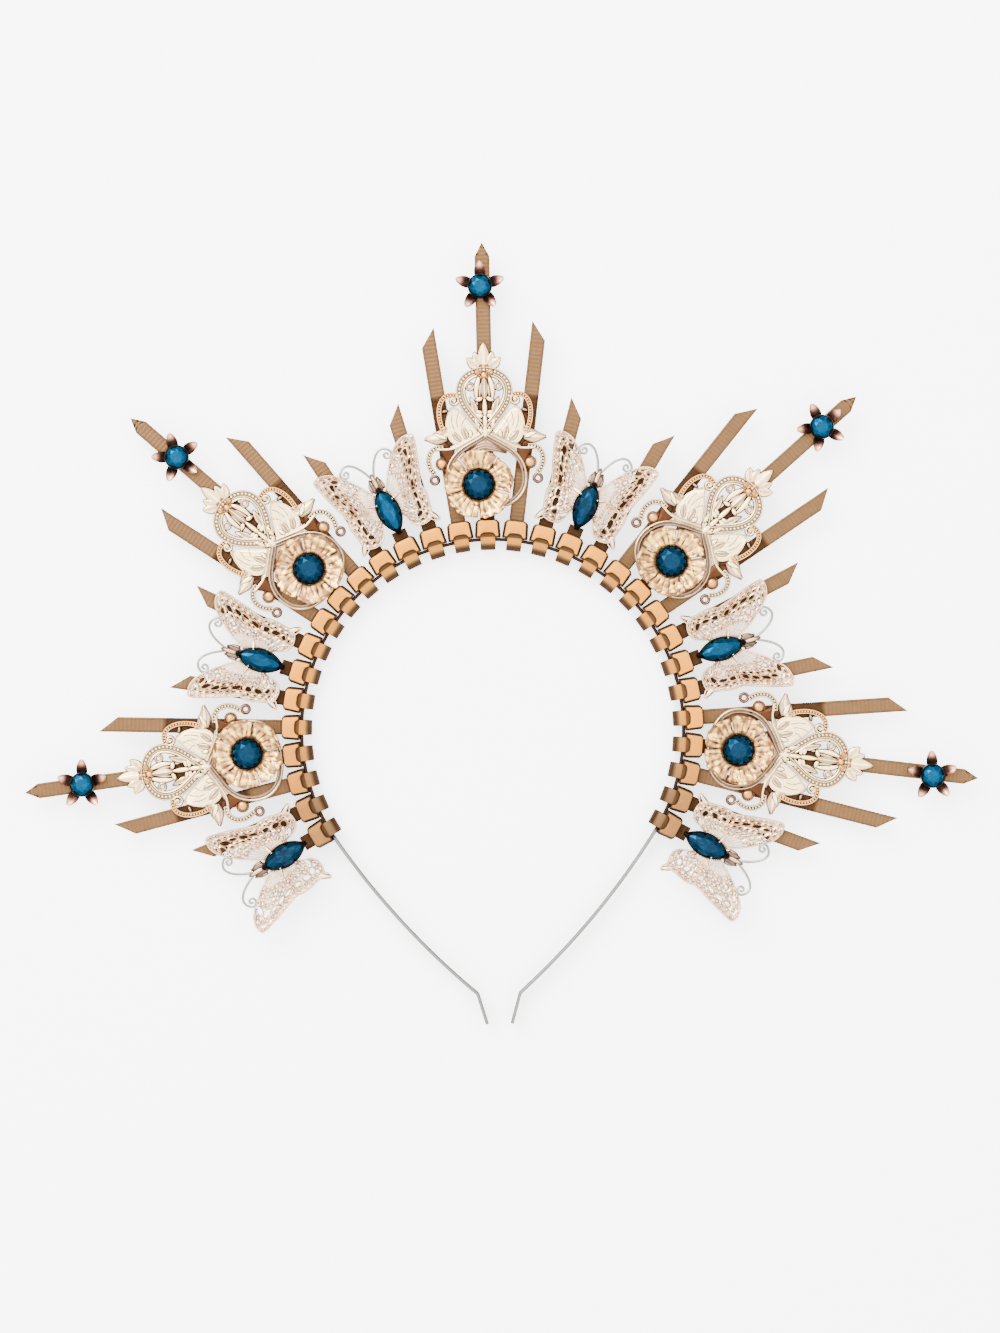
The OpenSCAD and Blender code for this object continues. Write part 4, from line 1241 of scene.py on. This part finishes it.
FORE_LEAD = bezier([1.6, 5.4], [4.6, 10.6], [8.2, 15.6], [11.7, 18.2], 24)
FORE_OUTER = chain(bezier([11.7, 18.2], [13.4, 19.4], [16.4, 20], [17.8, 18.4], 10),
                   bezier([17.8, 18.4], [16.8, 12.6], [14.4, 7.6], [13, 2.6], 20))
FORE_TRAIL = np.array([[1.6, 0.4], [13, 2.6]])
HIND_LEAD = np.array([[1.6, 2.4], [13, 3.0]])
HIND_OUTER = chain(bezier([13, 3], [14.4, -0.6], [12.4, -3.6], [12.3, -7.2], 18), [[11.2, -8.1]],
                   bezier([11.2, -8.1], [9, -9], [6.4, -8.8], [5.2, -6.6], 12))
HIND_TRAIL = bezier([1.6, 2.4], [3.4, -1.6], [4.2, -4], [5.2, -6.6], 14)


def wing_point(lead, outer, trail, u, v):
    """Place on a wing: u runs from the body to the outer edge and v from the front edge to the back edge.
    It is the patch between the four edges: both pairs of opposite edges blended, less the corners."""
    def on(path, t):
        along = np.concatenate([[0], np.cumsum(np.linalg.norm(np.diff(path, axis=0), axis=1))])
        return np.stack([np.interp(t * along[-1], along, path[:, k]) for k in range(2)], axis=-1)
    u, v = np.broadcast_arrays(np.asarray(u, float), np.asarray(v, float))
    root = lead[0] + (trail[0] - lead[0]) * v[..., None]
    w, q = u[..., None], v[..., None]
    across = (1 - w) * root + w * on(outer, v)
    along = (1 - q) * on(lead, u) + q * on(trail, u)
    corners = ((1 - w) * (1 - q) * lead[0] + w * (1 - q) * outer[0]
               + (1 - w) * q * trail[0] + w * q * outer[-1])
    return across + along - corners


def lifted(points):
    """Turns points of a flat wing up about the line x = WING_ROOT_X at the height of its back."""
    a = math.radians(WING_LIFT)
    x, z = points[..., 0] - WING_ROOT_X, points[..., 2]
    return np.stack([WING_ROOT_X + x * math.cos(a) - z * math.sin(a), points[..., 1],
                     ORNAMENT_Z + x * math.sin(a) + z * math.cos(a)], axis=-1)


def lace(wing, bands, hole, seed):
    """Pierced lace over a wing. A band is a row of cells: the way out at which it starts, how many cells
    it has, and the size of their holes as a share of the cell; the last one only ends the lace. Each
    cell is a ring: its outer edge is the cell's square and its inner edge a rounded square, and its wall
    goes up one side and down the other. Cells of every second band are shifted by half a cell. A seeded
    draw gives each hole its own size, shape and place and each cell its own tone, and a slow wave bends
    the rows."""
    sides = 12
    a = np.arange(sides) * 2 * np.pi / sides
    way = np.stack([np.cos(a), np.sin(a)], axis=1)
    square = way / np.abs(way).max(axis=1, keepdims=True)
    soft = way / ((np.abs(way) ** 3).sum(axis=1, keepdims=True)) ** (1 / 3)
    # Rings of each cell from its outer foot to its hole: lean to the square, height and tone; the tone is
    # painted shade at the foot and in the hole and painted light on the crest
    steps = np.array([(1.04, 0.05, 0.25), (1.04, 0.55, 0.66), (0.45, 0.78, 1.0), (0.0, 0.42, 0.3)])
    low, high, share = [], [], []
    for k, (start, cells, size) in enumerate(bands[:-1]):
        edges = np.clip((np.arange(cells + 1 + k % 2) - 0.5 * (k % 2)) / cells, 0, 1)
        low.append(np.stack([np.full(len(edges) - 1, start), edges[:-1]], axis=1))
        high.append(np.stack([np.full(len(edges) - 1, bands[k + 1][0]), edges[1:]], axis=1))
        share.append(np.full(len(edges) - 1, size * hole))
    low, high, share = np.concatenate(low), np.concatenate(high), np.concatenate(share)
    chance = np.random.default_rng(seed)
    share = np.clip(share[:, None] * chance.uniform(0.55, 1.3, (len(share), 2)), 0.08, 0.76)[:, None, None]
    off = chance.uniform(-0.2, 0.2, (len(low), 1, 1, 2))
    lean = steps[:, 0][:, None, None]
    ring = lean * square[None, None] + (1 - lean) * (share * soft[None, None] + off)
    middle, half = (low + high) / 2, (high - low) / 2
    uv = np.clip(middle[:, None, None] + half[:, None, None] * ring, 0, 1)
    bend = 0.018 * np.sin(9 * uv[..., 1] + 4 * uv[..., 0]) * np.sin(np.pi * uv[..., 0])
    flat = wing_point(*wing.values(), uv[..., 0] + bend, uv[..., 1])
    z = np.broadcast_to(steps[:, 1][None, :, None], flat.shape[:-1])
    points = np.concatenate([flat, z[..., None]], axis=-1)
    own = chance.uniform(0.8, 1.04, len(low))[:, None, None]
    tone = np.clip(np.broadcast_to(steps[:, 2][None, :, None], flat.shape[:-1]) * own, 0, 1)
    quads = ring_quads(len(steps), sides, rows_join=True)
    shift = np.arange(len(points))[:, None, None] * (len(steps) * sides)
    return outward(Shell(points.reshape(-1, 3), quads[None] + shift, [], tone.ravel()))


FORE = dict(lead=FORE_LEAD, outer=FORE_OUTER, trail=FORE_TRAIL)
HIND = dict(lead=HIND_LEAD, outer=HIND_OUTER, trail=HIND_TRAIL)
# Bands of the lace: start, count of cells and size of their holes. One band of each wing has large ones
FORE_BANDS = [(0.33, 7, 0.36), (0.45, 8, 0.42), (0.57, 8, 0.32), (0.69, 6, 0.68), (0.82, 10, 0.24),
              (0.91, 10, 0.12), (1.0, 0, 0)]
HIND_BANDS = [(0.33, 5, 0.36), (0.49, 6, 0.4), (0.65, 4, 0.66), (0.81, 7, 0.26), (0.905, 7, 0.12),
              (1.0, 0, 0)]


def wing_line(wing, u, v, z):
    """Points of a wing at the height z, at ways u and v across it."""
    return at_height(wing_point(*wing.values(), *np.broadcast_arrays(u, v)), z)


def butterfly_wing(hole, seed):
    """The right wings: ribs that fan out from the body, lace beyond them, a scalloped rim of fine beads,
    the tail tip and a prong that reaches the stone's cup."""
    parts = []
    for wing, bands, ribs, scallops in ((FORE, FORE_BANDS, 8, 13), (HIND, HIND_BANDS, 6, 9)):
        parts.append(lace(wing, bands, hole, seed + ribs))
        u = np.linspace(0.05, 0.36, 7)
        for k in range(ribs + 1):
            rib = wing_line(wing, u, k / ribs, 0.5 + 0.2 * np.sin(np.pi * u / 0.36))
            parts.append(wire(rib, 0.27, 6, tone=0.82))
        v = np.linspace(0, 1, 22)
        for way in (0.2, 0.34):
            across = wing_line(wing, way + 0.012 * np.sin(6 * np.pi * v), v, 0.66)
            parts.append(wire(across, 0.2, 6, tone=0.75))
        rim = spaced(chain(wing["lead"][4:], wing["outer"]), 0.7)
        parts.append(wire(at_height(rim, 0.5), 0.3, 6, tone=0.7))
        parts.append(balls(at_height(spaced(rim, 0.95), 0.7), 0.26, 0.9, 6, 3, 0.8))
        curve = 0.93 + 0.035 * np.abs(np.sin(np.pi * scallops * np.linspace(0, 1, 8 * scallops)))
        scalloped = wing_line(wing, curve, np.linspace(0.02, 0.98, 8 * scallops), 0.74)
        parts.append(wire(scalloped, 0.15, 5, tone=0.8))
        parts.append(wire(at_height(spaced(wing["trail"], 0.8), 0.45), 0.25, 6, tone=0.7))
    tail = dict(z=0.1, t=0.4, crown=0.3, tone=(0.35, 0.85))
    parts.append(pointed_leaf([11.2, -5.4], [13.7, -9.7], 0.7, **tail))
    curl = bezier([10.6, -7.6], [12.2, -9.6], [14.2, -10.2], [13.9, -8.6], 10)
    parts.append(wire(at_height(curl, 0.45), 0.24, 6))
    prong = np.array([[3.1, 3.1, 2.3], [3.8, 3.3, 2.0], [4.6, 3.6, 1.5], [5.5, 3.9, 1.0]])
    parts.append(wire(prong, 0.38, 6, tone=1.0))
    right = together(*parts)
    return on_both_sides(right.moved(lifted(right.points)))


def feelers():
    """Both feelers: a wire that leaves the head, rises in an arc and ends in a curl over the wing."""
    line = chain(bezier([0.7, 12.2], [2.6, 17.4], [6.2, 21.2], [9.0, 17.2], 22),
                 bezier([9.0, 17.2], [9.6, 15.2], [6.6, 14.6], [6.5, 16.4], 10),
                 bezier([6.5, 16.4], [6.6, 17.6], [8.0, 17.4], [7.9, 16.5], 6))
    right = wire(at_height(line, 0.45), 0.41, 8, tone=0.85)
    return on_both_sides(right.moved(lifted(right.points)))


def butterfly_body():
    """The head between the feelers: a pale middle leaf between two near-black leaves painted as shaded
    slots, with cheeks outside them.
    """
    form = dict(z=ORNAMENT_Z, t=0.7, crown=0.35)
    half = together(pointed_leaf([1.0, 6.6], [1.35, 11.8], 0.75, tone=(0.0, 0.1), **form),
                    pointed_leaf([2.0, 7.2], [1.9, 10.6], 0.4, tone=(0.1, 0.5), **form))
    middle = pointed_leaf([0, 7.4], [0, 13.3], 0.75, steps=14, z=ORNAMENT_Z + 0.3, t=0.8, crown=0.5,
                          tone=(0.1, 0.62))
    return together(middle, on_both_sides(half))


def lens_outline(l, w, count):
    """Pointed oval between two arcs: points at even angles of the right arc, then its half turn."""
    r = (l * l + w * w) / 2 / w
    reach = math.asin(l / r)
    b = reach - 2 * reach * np.arange(count // 2) / (count // 2)
    arc = np.stack([r * np.cos(b) - (r - w), r * np.sin(b)], axis=1)
    return np.concatenate([arc, -arc])


def navette_cup():
    """The dark pointed cup: the lens outline with walls that lean in at the top, a claw over each tip and
    two on each side, which are cosines of the way along the cup, and a boss on each tip."""
    count = 80
    l, w = NAVETTE_L + 0.65, NAVETTE_W + 0.6
    outline = lens_outline(l, w, count)
    y = outline[:, 1] / l
    claw = np.clip(np.abs(y) * 6 - 4.7, 0, 1) + np.clip(1 - np.abs(np.abs(y) - 0.32) * 9, 0, 1)
    z = ORNAMENT_Z
    rows = [(0.6, z, 0), (0.96, z, 0), (1.0, z + 0.3, 0), (1.0, z + 2.4, 0.5), (0.97, z + 2.75, 0.75),
            (0.90, z + 2.8, 0.8), (0.87, z + 2.5, 0.5), (0.865, z + 1.6, 0), (0.80, z + 1.1, 0)]
    grid = np.stack([at_height(outline * (scale - 0.05 * claw[:, None] * (lean > 0.6)), h + lean * claw)
                     for scale, h, lean in rows])
    return together(skin(grid, 0), balls([[0, 7.2, z + 2.5], [0, -7.2, z + 2.5]], 1.1, 0.7, 12, 5, 0))


class HALO_OT_butterflies(bpy.types.Operator):
    """Makes the six butterflies: pierced wings, feelers, body and a dark pointed cup"""
    bl_idname = "halo.butterflies"
    bl_label = "Butterflies"

    def execute(self, context):
        sizes, colours = context.scene.halo_sizes, context.scene.halo_colours
        silver = finish("silver_rose_lace", colours.wing_deep, colours.wing_middle, colours.wing_bright,
                        metallic=0.9, roughness=0.26, mottle=0.6, mottle_scale=330, grain=2200, bump=0.1,
                        specular=0.1, edge=(0.7, 0.47, 0.36))
        dull = tuple(0.4 * c for c in colours.feeler)
        grey = finish("grey_wire", colours.wing_deep, dull, colours.feeler, metallic=0.9, roughness=0.3,
                      mottle=0.25, mottle_scale=600, grain=1800, bump=0.15, specular=0.1)
        curls, cup = feelers(), navette_cup()
        for b, tie in enumerate(PLAIN_TIES):
            shape = together(butterfly_wing(sizes.lace_hole, seed=200 + 20 * b), butterfly_body(),
                             curls, cup)
            obj = make_piece(f"lace_butterfly_{b + 1}",
                             placed(shape, tie * PITCH, BUTTERFLY_R, turn=BUTTERFLY_LEAN[b]),
                             silver, [f"butterfly_{b + 1}"])
            paint_last_faces(obj, (curls, grey), (cup, dark_metal(colours)))
        return {"FINISHED"}


# Stones

def cut_stone(outline, girdle_z, crown_h, depth, seed, shine, contrast):
    """A brilliant cut on any outline of sixteen points: a table of eight points, eight star facets, eight
    kites and sixteen girdle facets over a thin girdle, and below it eight long facets to the culet.
    Each facet is split from its middle into three, as the facets behind it show through, and each third
    gets its own tone as a painted reflection of them. Gives the shell and a tone of painted light for each
    face, drawn about the shine within the contrast; the facets that slope to the girdle are painted
    lighter, as they look at the dimmer part of the sky."""
    table, star, waist, culet = 0.56, 0.79, 0.62, 0.1
    main, between = outline[0::2], outline[1::2]
    tuck = math.cos(math.pi / 8)
    star_z = girdle_z + crown_h * (1 - star * tuck) / (1 - table)
    points = np.concatenate([
        at_height(main * table, girdle_z + crown_h), at_height(between * star, star_z),
        at_height(outline, girdle_z), at_height(outline, girdle_z - 0.25),
        at_height(between * waist, girdle_z - 0.25 - 0.55 * (depth - 0.25)),
        at_height(main * culet, girdle_z - depth), [[0, 0, girdle_z + crown_h], [0, 0, girdle_z - depth]]])
    k = np.arange(8)
    on = (k + 1) % 8
    t, s, g, low, p, c = 0, 8, 16, 32, 48, 56
    g0, g1, g2 = 2 * k, 2 * k + 1, (2 * k + 2) % 16
    crown = [(64 + 0 * k, t + k, t + on), (t + k, s + k, t + on), (t + on, s + k, g + g2),
             (t + on, g + g2, s + on), (s + k, g + g0, g + g1), (s + k, g + g1, g + g2)]
    side = [(g + g0, low + g0, low + g1), (g + g0, low + g1, g + g1), (g + g1, low + g1, low + g2),
            (g + g1, low + g2, g + g2)]
    under = [(low + g0, p + k, low + g1), (low + g1, p + k, low + g2), (low + g2, p + k, p + on),
             (p + k, c + on, p + on), (p + k, c + k, c + on), (c + k, 65 + 0 * k, c + on)]
    tris = np.concatenate([np.stack(f, axis=1) for f in crown + side + under])
    chance = np.random.default_rng(seed)
    middles = points[tris].mean(axis=1)
    new = len(points) + np.arange(len(tris))
    split = np.concatenate([np.stack([tris[:, i], tris[:, j], new], axis=1)
                            for i, j in ((0, 1), (1, 2), (2, 0))])
    slope = np.isin(np.arange(len(tris)) // 8, (2, 3, 4, 5))
    face_tone = shine + 0.3 * np.tile(slope, 3) + contrast * (chance.beta(0.9, 1.3, len(split)) - 0.41)
    face_tone = np.clip(face_tone, 0.02, 1)
    return outward(Shell(np.concatenate([points, middles]), [], split, 0.5)), face_tone


def even_outline(r, count):
    """Points round a circle, clockwise from +Y."""
    a = np.arange(count) * 2 * np.pi / count
    return np.stack([r * np.sin(a), r * np.cos(a)], axis=1)


class HALO_OT_stones(bpy.types.Operator):
    """Makes the faceted blue stones: round ones, pointed ones and the small ones of the stars"""
    bl_idname = "halo.stones"
    bl_label = "Stones"

    def execute(self, context):
        colours = context.scene.halo_colours
        middle = tuple(0.55 * a + 0.45 * b for a, b in zip(colours.stone_deep, colours.stone_bright))
        glass = finish("foiled_blue_glass", colours.stone_deep, middle, colours.stone_bright,
                       metallic=0.97, roughness=0.27, spread=0.04, mottle=0.35, mottle_scale=700,
                       grain=800, bump=0.03, coat=0.04, specular=0.1)
        small = []
        for g, row in enumerate(ORNAMENTS):
            angle = group_angle(g)
            shell, tone = cut_stone(even_outline(ROUND_STONE_R, 16), 12.6, 1.5, 1.6, seed=50 + g,
                                    shine=0.24, contrast=0.16)
            make_piece(f"round_blue_stone_{g + 1}",
                       placed(shell, angle, row["flower_r"], x=row["flower_x"]),
                       glass, [f"round_stone_{g + 1}"], face_tone=tone)
            shell, tone = cut_stone(even_outline(STAR_STONE_R, 16), 10.4, 1.0, 1.3, seed=70 + g,
                                    shine=0.8, contrast=0.35)
            shell = placed(shell, angle, row["star_r"], x=row["star_x"], turn=row["star_turn"])
            small.append((shell, tone))
        make_piece("star_blue_stones", together(*[s for s, _ in small]), glass,
                   ["star_stones"], face_tone=np.concatenate([t for _, t in small]))
        for b, tie in enumerate(PLAIN_TIES):
            shell, tone = cut_stone(lens_outline(NAVETTE_L, NAVETTE_W, 16), 10.9, 1.4, 1.6, seed=90 + b,
                                    shine=NAVETTE_SHINE[b], contrast=0.5)
            make_piece(f"pointed_blue_stone_{b + 1}",
                       placed(shell, tie * PITCH, BUTTERFLY_R, turn=BUTTERFLY_LEAN[b]),
                       glass, [f"navette_stone_{b + 1}"], face_tone=tone)
        return {"FINISHED"}


# Stage

# Height of the camera's sensor in millimetres, and the camera's place over the crown in metres
SENSOR = 24
CAMERA_PLACE = (0.00043, -0.01071)


class HALO_OT_stage(bpy.types.Operator):
    """Makes the pale floor, the soft light and the camera over the crown"""
    bl_idname = "halo.stage"
    bl_label = "Stage"

    def execute(self, context):
        plan = context.scene.halo_stage
        side = np.array([-1.0, 1.0]) * 3
        x, y = np.meshgrid(side, side)
        mesh = bpy.data.meshes.new("floor")
        mesh.from_pydata(np.stack([x.ravel(), y.ravel(), 0 * x.ravel()], axis=1), [], [(0, 1, 3, 2)])
        floor = bpy.data.objects.new("floor", mesh)
        context.scene.collection.objects.link(floor)
        matt = bpy.data.materials.new("pale_floor")
        matt.use_nodes = True
        pale = (*plan.floor_colour, 1)
        feed(matt.node_tree, matt.node_tree.nodes["Principled BSDF"], {
            "Base Color": pale, "Roughness": 0.9, "Specular IOR Level": 0.1, "Emission Color": pale,
            "Emission Strength": plan.floor_glow})
        mesh.materials.append(matt)
        self.make_sky(context, plan)
        lamp = bpy.data.lights.new("soft_light", "AREA")
        lamp.shape = "RECTANGLE"
        lamp.size, lamp.size_y = 1.1, 0.9
        lamp.energy = plan.light_power
        light = bpy.data.objects.new("soft_light", lamp)
        light.location = (-0.6, 0.85, 1.1)
        light.rotation_euler = (math.radians(-34), math.radians(-29), 0)
        context.scene.collection.objects.link(light)
        lens = bpy.data.cameras.new("camera")
        lens.sensor_fit = "VERTICAL"
        lens.sensor_height = SENSOR
        lens.lens = SENSOR * plan.camera_height / plan.view_height
        lens.clip_start = 0.05
        camera = bpy.data.objects.new("camera", lens)
        camera.location = (*CAMERA_PLACE, plan.camera_height + ORNAMENT_Z * MM)
        camera.rotation_euler = (0, 0, plan.camera_roll)
        context.scene.collection.objects.link(camera)
        context.scene.camera = camera
        return {"FINISHED"}

    def make_sky(self, context, plan):
        """Soft light from all round, brightest overhead and dim at the horizon, so that slopes show."""
        world = bpy.data.worlds.new("studio")
        world.use_nodes = True
        context.scene.world = world
        tree = world.node_tree
        where = add_node(tree, "TexCoord")
        parts = add_node(tree, "SeparateXYZ", {0: where.outputs["Generated"]})
        ramp = add_node(tree, "ValToRGB", {0: parts.outputs["Z"]})
        low, high = ramp.color_ramp.elements
        low.position, low.color = 0.3, (0.16, 0.155, 0.15, 1)
        high.position, high.color = 0.82, (1.0, 1.0, 1.0, 1)
        feed(tree, tree.nodes["Background"], {"Color": ramp.outputs[0], "Strength": plan.sky_strength})


class HALO_PT_panel(bpy.types.Panel):
    """Lists the settings and the steps that make the crown"""
    bl_idname = "HALO_PT_panel"
    bl_label = "Halo crown"
    bl_space_type = "VIEW_3D"
    bl_region_type = "UI"
    bl_category = "Halo crown"

    def draw(self, context):
        for step in STEPS:
            self.layout.operator(step.bl_idname)
        for title, group in (("Sizes", context.scene.halo_sizes), ("Colours", context.scene.halo_colours),
                             ("Stage", context.scene.halo_stage)):
            box = self.layout.box()
            box.label(text=title)
            for key in group.__annotations__:
                box.prop(group, key)


STEPS = (HALO_OT_headband, HALO_OT_ties, HALO_OT_filigree, HALO_OT_flowers, HALO_OT_stars,
         HALO_OT_butterflies, HALO_OT_stones, HALO_OT_stage)
CLASSES = (HaloSizes, HaloColours, HaloStage, *STEPS, HALO_PT_panel)


def register():
    for cls in CLASSES:
        bpy.utils.register_class(cls)
    bpy.types.Scene.halo_sizes = PointerProperty(type=HaloSizes)
    bpy.types.Scene.halo_colours = PointerProperty(type=HaloColours)
    bpy.types.Scene.halo_stage = PointerProperty(type=HaloStage)


def unregister():
    del bpy.types.Scene.halo_stage, bpy.types.Scene.halo_colours, bpy.types.Scene.halo_sizes
    for cls in reversed(CLASSES):
        bpy.utils.unregister_class(cls)


def main():
    register()
    bpy.ops.halo.headband()
    bpy.ops.halo.ties()
    bpy.ops.halo.filigree()
    bpy.ops.halo.flowers()
    bpy.ops.halo.stars()
    bpy.ops.halo.butterflies()
    bpy.ops.halo.stones()
    bpy.ops.halo.stage()
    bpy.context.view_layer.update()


if __name__ == "__main__":
    main()
